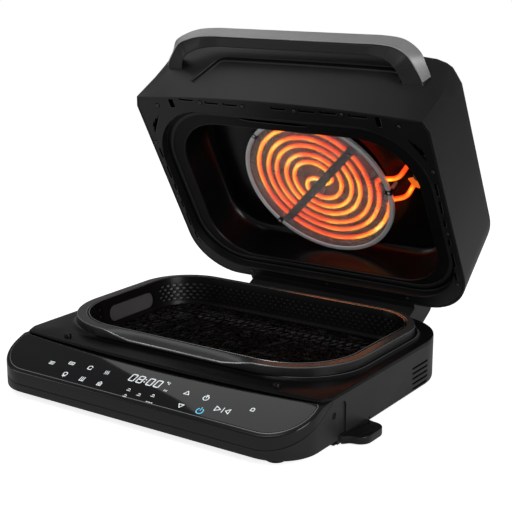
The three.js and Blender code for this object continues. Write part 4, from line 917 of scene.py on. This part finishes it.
# The rim frame closes the lid's underside: a flat band with slots and screws, a deep groove for
# the pot's rim, and a narrow shelf round the heating chamber.
# It is satin black, with a dark grey silicone seal pressed into the groove.
band_black = moulded("band_black", (0.007, 0.007, 0.0073), 0.36, grain=0.05, specular=0.3)
# The groove's roof is painted darker than the band: painted shade.
groove_painted_shade = moulded("groove_painted_shade", (0.004, 0.004, 0.0042), 0.5, grain=0.05, specular=0.15)
screw_black = moulded("screw_black", (0.07, 0.07, 0.071), 0.3, metallic=0.6, grain=0.05)
GROOVE = dict(half=199, front=1.5, rear=266.5, front_radius=92, rear_radius=70)
CHAMBER = dict(half=172.6, front=28, rear=252, front_radius=72, rear_radius=60)
band = bmesh.new()
_, band_edge = stack(band, [lid_loop(69.0, -2.9), lid_loop(66.2, -2.9), lid_loop(65.6, -3.4)])
groove_edge, _ = stack(band, plan_rings(GROOVE, [(0.6, 65.6), (0, 66.2), (-0.6, 75.6), (-1.6, 76.5)])
                       + plan_rings(CHAMBER, [(1.4, 76.5), (0.4, 76.8), (0, 77.6), (0, 79.5)]),
                       materials=[0, 0, 0, 1, 0, 0, 0])
fill_between(band, band_edge, groove_edge)
band_piece = settle(band, "rim_band", "lid", [band_black, groove_painted_shade], place=OPEN)
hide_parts("lid_groove_roof", "lid_rim_front", "lid_rim_rear", "lid_rim_left", "lid_rim_right",
            "lid_rim_front_left", "lid_rim_front_right", "lid_rim_rear_left", "lid_rim_rear_right")
seal_grey = moulded("seal_grey", (0.016, 0.016, 0.0165), 0.5, grain=0.05, specular=0.3)
seal = bmesh.new()
stack(seal, plan_rings(GROOVE, [
    (-6, 76.2), (-6.3, 75.6), (-7.4, 75.32), (-9.6, 75.32), (-10.7, 75.6), (-11, 76.2)]), join=True)
seal_piece = settle(seal, "rim_seal", "lid", [seal_grey], place=OPEN)
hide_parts("lid_gasket")
# The slots are drawn as dark shapes a hair proud of the band, painted shade for their openings, each with a
# grey lip behind it painted lighter as a painted highlight.
MARK_FACE, LIP_FACE, MARK_BACK = 65.3, 65.42, 65.66
marks = bmesh.new()
lips = bmesh.new()


def lined(points, width, lift=0.0):
    """A narrow slot that follows a few points of the band, drawn as painted shade, with a grey lip along its
    rear edge as a painted highlight.
    """
    last = len(points) - 1
    rear_side, front_side = [], []
    for i, (x, y) in enumerate(points):
        ax, ay = points[max(0, i - 1)]
        bx, by = points[min(last, i + 1)]
        way = Vector((ay - by, bx - ax)).normalized() * width * (0.5 if 0 < i < last else 0.15)
        rear_side.append((x + way.x, y + way.y))
        front_side.append((x - way.x, y - way.y))
    outline = rear_side + front_side[::-1]
    lip = [(x + 0.3, y + 0.9) for x, y in outline]
    for bm, shape, face in ((marks, outline, MARK_FACE), (lips, lip, LIP_FACE)):
        stack(bm, [flat(shape, face + lift), flat(shape, MARK_BACK + lift)], caps=(True, True))


for side in (-1, 1):
    lined([(side * x, y) for x, y in ((179, 13), (186, 18.6), (191.6, 24.8), (195.4, 32), (197, 42))], 2.2)
# The long dark strip at the groove's mouth across the front is painted shade of the groove.
lined([(-60, 13.9), (-48, 14.5), (-37.5, 15), (-19, 15.4), (1, 15.6), (20, 15.8), (37.5, 16.2)], 3, 10.9)


def slot_mark(x0, x1, y0, y1, radius):
    block(marks, (x0, y0, MARK_FACE), (x1, y1, MARK_BACK), radius, "Z", 3)
    block(lips, (x0 + 0.5, y0 + 0.8, LIP_FACE), (x1 + 0.5, y1 + 0.8, MARK_BACK), radius, "Z", 3)


for x0, x1, y0, y1 in ((-152.5, -145.3, -15.2, -2.7), (143.9, 149.6, -15.3, -2)):
    slot_mark(x0, x1, y0, y1, 1.0)
for x0, x1, y in ((-132.4, -112.5, -16), (-92.9, -74.8, -14), (-65.8, -46.2, -13.8), (4.7, 23.4, -14.4),
                  (44.1, 63.5, -14.2), (72.9, 93.2, -14.6), (111.4, 133.3, -13.4)):
    slot_mark(x0, x1, y - 1.0, y + 1.0, 0.8)
    slot_mark(x0 - 1.8, x0 + 0.4, y - 2.6, y + 0.6, 0.8)
rear_slots = ((180.8, 202.4), (213.6, 226))
for side, rows in ((-1, ((67.7, 84.3), (98.1, 118.7), (129, 139.3), (159.2, 169.5), *rear_slots)),
                   (1, ((73.7, 91.4), (100.1, 118.3), (129, 138.6), (158.8, 168.6), *rear_slots))):
    for y0, y1 in rows:
        x = side * (200.6 - max(0, y1 - 200) * 0.09)
        slot_mark(x - 1.3, x + 1.3, y0, y1, 1.0)
# The near-black of the slots is painted shade, and the grey of their lips is a painted highlight.
slot_painted_shade = moulded("slot_painted_shade", (0.0006, 0.0006, 0.0006), 0.8, grain=0.0, specular=0.0)
settle(marks, "rim_slots", "lid", [slot_painted_shade], place=OPEN)
lip_painted_highlight = moulded("lip_painted_highlight", (0.05, 0.05, 0.051), 0.35, grain=0.0, specular=0.5)
settle(lips, "rim_slot_lips", "lid", [lip_painted_highlight], place=OPEN)
screws = bmesh.new()
for x, y in ((-174, -3.8), (-102.4, -14.2), (-38.5, -13.8), (35.4, -13.7), (100.2, -14.5), (171.5, -4.7),
             (-202.2, 58), (-202.1, 149.3), (-198.3, 231.6), (201.2, 56), (200.9, 149.4), (198.3, 231.6),
             (-120, 273), (0, 273), (120, 273)):
    # The gap round each screw head and the socket in its middle are painted shade.
    head = ((3.2, 65.6), (3.2, 65.4), (2.4, 65.4), (2.3, 64.9), (1.9, 64.7), (0.9, 64.7), (0.8, 65.2))
    turned(screws, x, y, head, 18, [1, 1, 0, 0, 0, 1], (False, True))
settle(screws, "rim_screws", "lid", [screw_black, slot_painted_shade], place=OPEN)


# The heating chamber is lined with one drawn pan of black enamelled steel with a round recess for the fan.
# The enamel is nearly black, with a warm tinge and a glossy skin.
enamel = moulded("enamel", (0.004, 0.0036, 0.0036), 0.22, grain=0.03, specular=0.3, scale=200)
pan = bmesh.new()
_, ceiling_edge = stack(pan, plan_rings(CHAMBER, [
    (9, 79.9), (0, 79.9), (-0.4, 92), (-1.6, 115), (-2.4, 120), (-4.4, 125), (-7.4, 128.6), (-11, 130.3),
    (-14, 130.5)]))
FAN_Y = 141


def fan_rings(profile):
    """Rings round the fan's axis."""
    return [circle(0, FAN_Y, radius, height, 72) for radius, height in profile]


recess_edge, _ = stack(pan, fan_rings([
    (97, 130.5), (95.4, 130.9), (95, 132), (95, 139), (94, 140.3), (92, 140.5), (6.5, 140.5)]))
fill_between(pan, ceiling_edge, recess_edge)
pan_piece = settle(pan, "chamber_pan", "lid", [enamel], place=OPEN)
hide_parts("lid_liner")


# The handle is a long black grip whose ends sweep down and back into the lid's front corners.
# A brushed steel strip is pressed into its outer face; its colour is painted darker toward the right end, as
# painted shade.
handle_half = [
    [(0, -60, 162.5), (0, -60, 143.5), (0, -49, 135.2), (0, -50, 162.5)],
    [(94, -60, 162.5), (94, -60, 143.5), (90, -49, 135.0), (90, -50, 162.5)],
    [(119, -60, 162.2), (116, -60, 143.4), (110, -49, 134.4), (113, -50, 162.2)],
    [(143, -60, 158.4), (136, -60, 141), (129, -48.5, 130), (137, -49, 158)],
    [(160, -58, 151.3), (149, -59, 137), (141, -47, 124), (152, -46, 150)],
    [(175, -52.5, 142), (162.5, -56, 130.5), (149, -44, 118.5), (163, -41, 140)],
    [(181, -41, 137), (172, -46, 125), (154, -36, 115.5), (168, -32, 134.5)],
    [(186.5, -27, 132), (183, -29, 117.5), (157, -26, 113.5), (171, -23, 132)],
    [(190, -7.6, 127.2), (186, -7.6, 114), (159, -9, 110), (173, -7.2, 130)],
]
left_half = [[(-x, y, z) for x, y, z in section] for section in reversed(handle_half[1:])]
sections = [[Vector(p) for p in section] for section in left_half + handle_half]


def eased(p0, p1, p2, p3, t):
    """A point on the smooth curve through four points, between the middle two."""
    return (p1 * 2 + (p2 - p0) * t + (p0 * 2 - p1 * 5 + p2 * 4 - p3) * t * t
            + (p1 * 3 - p0 - p2 * 3 + p3) * t ** 3) / 2


def flowing(stations):
    """Sections set between the measured ones on a smooth curve, and none along the straight middle."""
    flow = []
    last, straight_half = len(stations) - 1, 95
    for i in range(last):
        four = (stations[max(0, i - 1)], stations[i], stations[i + 1], stations[min(last, i + 2)])
        steps = 1 if max(abs(four[1][0].x), abs(four[2][0].x)) < straight_half else 6
        for step in range(steps):
            flow.append([eased(*points, step / steps) for points in zip(*four)])
    flow.append(stations[-1])
    return flow


def inward(section, distance):
    a, b, c, d = section
    way = Vector((c.x + d.x - a.x - b.x, c.y + d.y - a.y - b.y, 0)).normalized() * distance
    return [a + way, b + way]


flow = flowing(sections)
grip = bmesh.new()
stack(grip, [[*inward(s, 1.6), s[2], s[3]] for s in flow], caps=(True, True))
grip_piece = settle(grip, "grip", "lid", [satin_black], place=OPEN, crease=40, bevel=2.2,
                    segments=4)
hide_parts("handle_body")
strip_steel = moulded("strip_steel", (0.40, 0.40, 0.405), 0.5, metallic=0.55, grain=0.04)
tree = strip_steel.node_tree
here = add_node(tree, "ShaderNodeTexCoord", output="Object")
# The strip's colour is painted darker toward its right end: painted shade.
strip_across = add_node(tree, "ShaderNodeSeparateXYZ", None, {0: here}, output="X")
painted_shade_factor = add_node(tree, "ShaderNodeMapRange", None, {
    "Value": strip_across, "From Min": 0.14, "From Max": 0.185, "To Min": 1.0, "To Max": 0.42})
shader = tree.nodes["Principled BSDF"]
paint = Tone(shader.inputs["Base Color"].links[0].from_socket)
shade = add_node(tree, "ShaderNodeVectorMath", {"operation": "MULTIPLY"}, {0: paint, 1: painted_shade_factor})
feed(shader, "Base Color", shade)
strip = bmesh.new()
strip_flow = [s for s in flow if s[0].y < -24.5]
stack(strip, [[s[1], s[0], *inward(s, 1.5)] for s in strip_flow], caps=(True, True))
strip_piece = settle(strip, "grip_strip", "lid", [strip_steel], place=OPEN, crease=40,
                     bevel=0.5)
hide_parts("handle_trim")


# The heating element is one sheathed tube wound in two interleaved arms that meet in an S, glowing orange.
# A dark bar crosses it, and a fine net of steel hexagons covers it.
# A steel ring on three clips holds the net.
COIL_X, COIL_Y, COIL_Z = -1.9, 136.4, 117.1


def spiral(radius, start, turns):
    """An arm that winds inwards, a little to the front left of the fan's axis."""
    steps, pitch = round(turns * 60), 26.6
    arm = []
    for i in range(steps + 1):
        reach = radius - pitch * turns * i / steps
        angle = radians(start + 360 * turns * i / steps)
        arm.append((COIL_X + reach * cos(angle), COIL_Y + reach * sin(angle)))
    return arm


route = [(143.2, 86), (130, 103.5), (120, 115.6), (108, 119.6), (96, 120.5), (88.5, 123.5)]
route += spiral(88.5, -6, 2.433)[:-1]
route += [(-20.5, 140.5), (-13, 134.5), (-3.5, 132.8), (3.5, 136.5), (9, 140.7), (15.5, 137.8), (20.6, 132)]
route += spiral(101.5, 12, 2.883)[::-1][1:]
route += [(101.2, 152.9), (107, 151.5), (124, 145.6), (134, 131), (145.5, 113.3)]
curve_data = bpy.data.curves.new("coil_route", "CURVE")
curve_data.dimensions = "3D"
spline = curve_data.splines.new("NURBS")
spline.points.add(len(route) - 1)
for point, (x, y) in zip(spline.points, route):
    point.co = (x, y, COIL_Z, 1)
spline.order_u = 3
spline.use_endpoint_u = True
curve_data.bevel_depth = 3.2
curve_data.bevel_resolution = 4
curve_data.use_fill_caps = True
curve_data.resolution_u = 3
guide = bpy.data.objects.new("coil_route", curve_data)
bpy.context.collection.objects.link(guide)
depsgraph = bpy.context.evaluated_depsgraph_get()
coil = bmesh.new()
coil.from_mesh(bpy.data.meshes.new_from_object(guide.evaluated_get(depsgraph), depsgraph=depsgraph))
bpy.data.objects.remove(guide)


def from_centre(tree):
    """The piece's coordinates turned back to the closed lid, with the fan's axis at the origin."""
    here = add_node(tree, "ShaderNodeTexCoord", output="Object")
    hub = OPEN @ Vector((0, FAN_Y, COIL_Z))
    level = add_node(tree, "ShaderNodeVectorMath", {"operation": "SUBTRACT"}, {0: here, 1: hub})
    return add_node(tree, "ShaderNodeVectorRotate", {"rotation_type": "X_AXIS"}, {
        "Vector": level, "Angle": LID_TURN})


hot, tree, shader = bare_material("hot_tube")
place = from_centre(tree)
patches = add_node(tree, "ShaderNodeTexNoise", None, {"Vector": place, "Scale": 26.0, "Detail": 3.0})
reach, across, depth = (add_node(tree, "ShaderNodeSeparateXYZ", None, {0: place}, output=axis)
                        for axis in "XYZ")
away = add_node(tree, "ShaderNodeMath", {"operation": "ABSOLUTE"}, {0: reach - across})
# Besides the heat colours, the tube's underside is painted yellower than its sides: a painted highlight of
# the glowing core.
heat_with_painted_core = 0.29 - depth * 190 - away * 2.8 + (patches - 0.5) * 0.9 + (reach > 0.1) * 0.1
colour = add_node(tree, "ShaderNodeValToRGB", {"stops": [
    (0.0, (0.35, 0.012, 0.002)), (0.4, (0.85, 0.05, 0.004)), (0.62, (1.0, 0.16, 0.008)),
    (0.84, (1.0, 0.5, 0.03)), (1.0, (1.0, 0.82, 0.25))]}, {"Fac": heat_with_painted_core})
feed(shader, "Emission Color", colour)
shader.inputs["Emission Strength"].default_value = 2.1
scale_tone = add_node(tree, "ShaderNodeValToRGB", {"stops": [
    (0.3, (0.05, 0.012, 0.006)), (0.8, (0.12, 0.03, 0.01))]}, {"Fac": patches})
feed(shader, "Base Color", scale_tone)
feed(shader, "Roughness", 0.55 + patches * 0.2)
coil_piece = settle(coil, "heating_tube", "lid", [hot], place=OPEN, crease=60)
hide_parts("heating_coil")
guard_black = moulded("guard_black", (0.010, 0.009, 0.009), 0.4, grain=0.05, metallic=0.3)
net_steel = moulded("net_steel", (0.8, 0.79, 0.78), 0.45, grain=0.0, metallic=0.3, specular=0.5)
guard = bmesh.new()
hex_field(guard, 3.4, 2.55, lambda x, y: hypot(x, y - FAN_Y) < 101.4, 0.3, (102, 102), (0, FAN_Y), 110.6)
guard_piece = settle(guard, "guard_mesh", "lid", [net_steel], place=OPEN, crease=60)
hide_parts("element_guard")
ring_steel = moulded("ring_steel", (0.86, 0.86, 0.87), 0.4, metallic=0.35, grain=0.04)
ring = bmesh.new()
stack(ring, fan_rings([
    (101.6, 110.2), (101.6, 109.4), (102.2, 108.8), (103.2, 108.5), (106.4, 108.5), (107.2, 108.8),
    (107.6, 109.6), (107.6, 112.9), (106.6, 112.9), (106.6, 110.2)]), join=True)
post_reach = 105.2
clips = bmesh.new()
for turn in (-3, 139, 225):
    post_x, post_y = post_reach * cos(radians(turn)), FAN_Y + post_reach * sin(radians(turn))
    turned(ring, post_x, post_y, ((1.6, 107.7), (2.2, 108.1), (2.2, 130.2)), 16)
    clip = bmesh.new()
    block(clip, (100.4, -3.4, 107.9), (109.6, 3.4, 113.8), 1.0, "Z", 3)
    bmesh.ops.rotate(clip, matrix=Matrix.Rotation(radians(turn), 3, "Z"), verts=clip.verts)
    bmesh.ops.translate(clip, vec=(0, FAN_Y, 0), verts=clip.verts)
    held = bpy.data.meshes.new("clip")
    clip.to_mesh(held)
    clip.free()
    clips.from_mesh(held)
    bpy.data.meshes.remove(held)
settle(clips, "hoop_clips", "lid", [guard_black], place=OPEN)
clamp = bmesh.new()
clamp_plan = [(135.3, 111.7), (150.5, 106.3), (148.3, 124.9), (140.1, 122.6)]
stack(clamp, [flat(clamp_plan, 112.2), flat(clamp_plan, 113.4)], caps=(True, True))
# The lead clamp's orange glow is painted light from the glowing tube.
clamp_painted_glow = glow_finish("clamp_painted_glow", (1.0, 0.16, 0.012), 0.75)
settle(clamp, "lead_clamp", "lid", [clamp_painted_glow], place=OPEN)
ring_piece = settle(ring, "guard_hoop", "lid", [ring_steel], place=OPEN)
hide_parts("guard_ring")
dress(guard_black, "coil_bracket")
for name in ("coil_terminal_front", "coil_terminal_rear"):
    dress(moulded(f"{name}_clay", (0.25, 0.16, 0.09), 0.6, grain=0.1), name)


# Above the chamber: the fan's steel impeller on its shaft, a second fan for cooling, the motor,
# the heat shield, a thermostat's probe and the cut-out. They are plain sheet and turned parts.
for name in ("fan_impeller", "fan_motor", "heat_shield", "temperature_sensor"):
    dress(moulded(f"{name}_sheet", (0.2, 0.2, 0.2), 0.4, metallic=0.9, grain=0.05), name)
dress(pan_steel, "cooling_fan")
dress(moulded("cutout_clay", (0.6, 0.56, 0.5), 0.6, grain=0.1), "thermal_cutout")
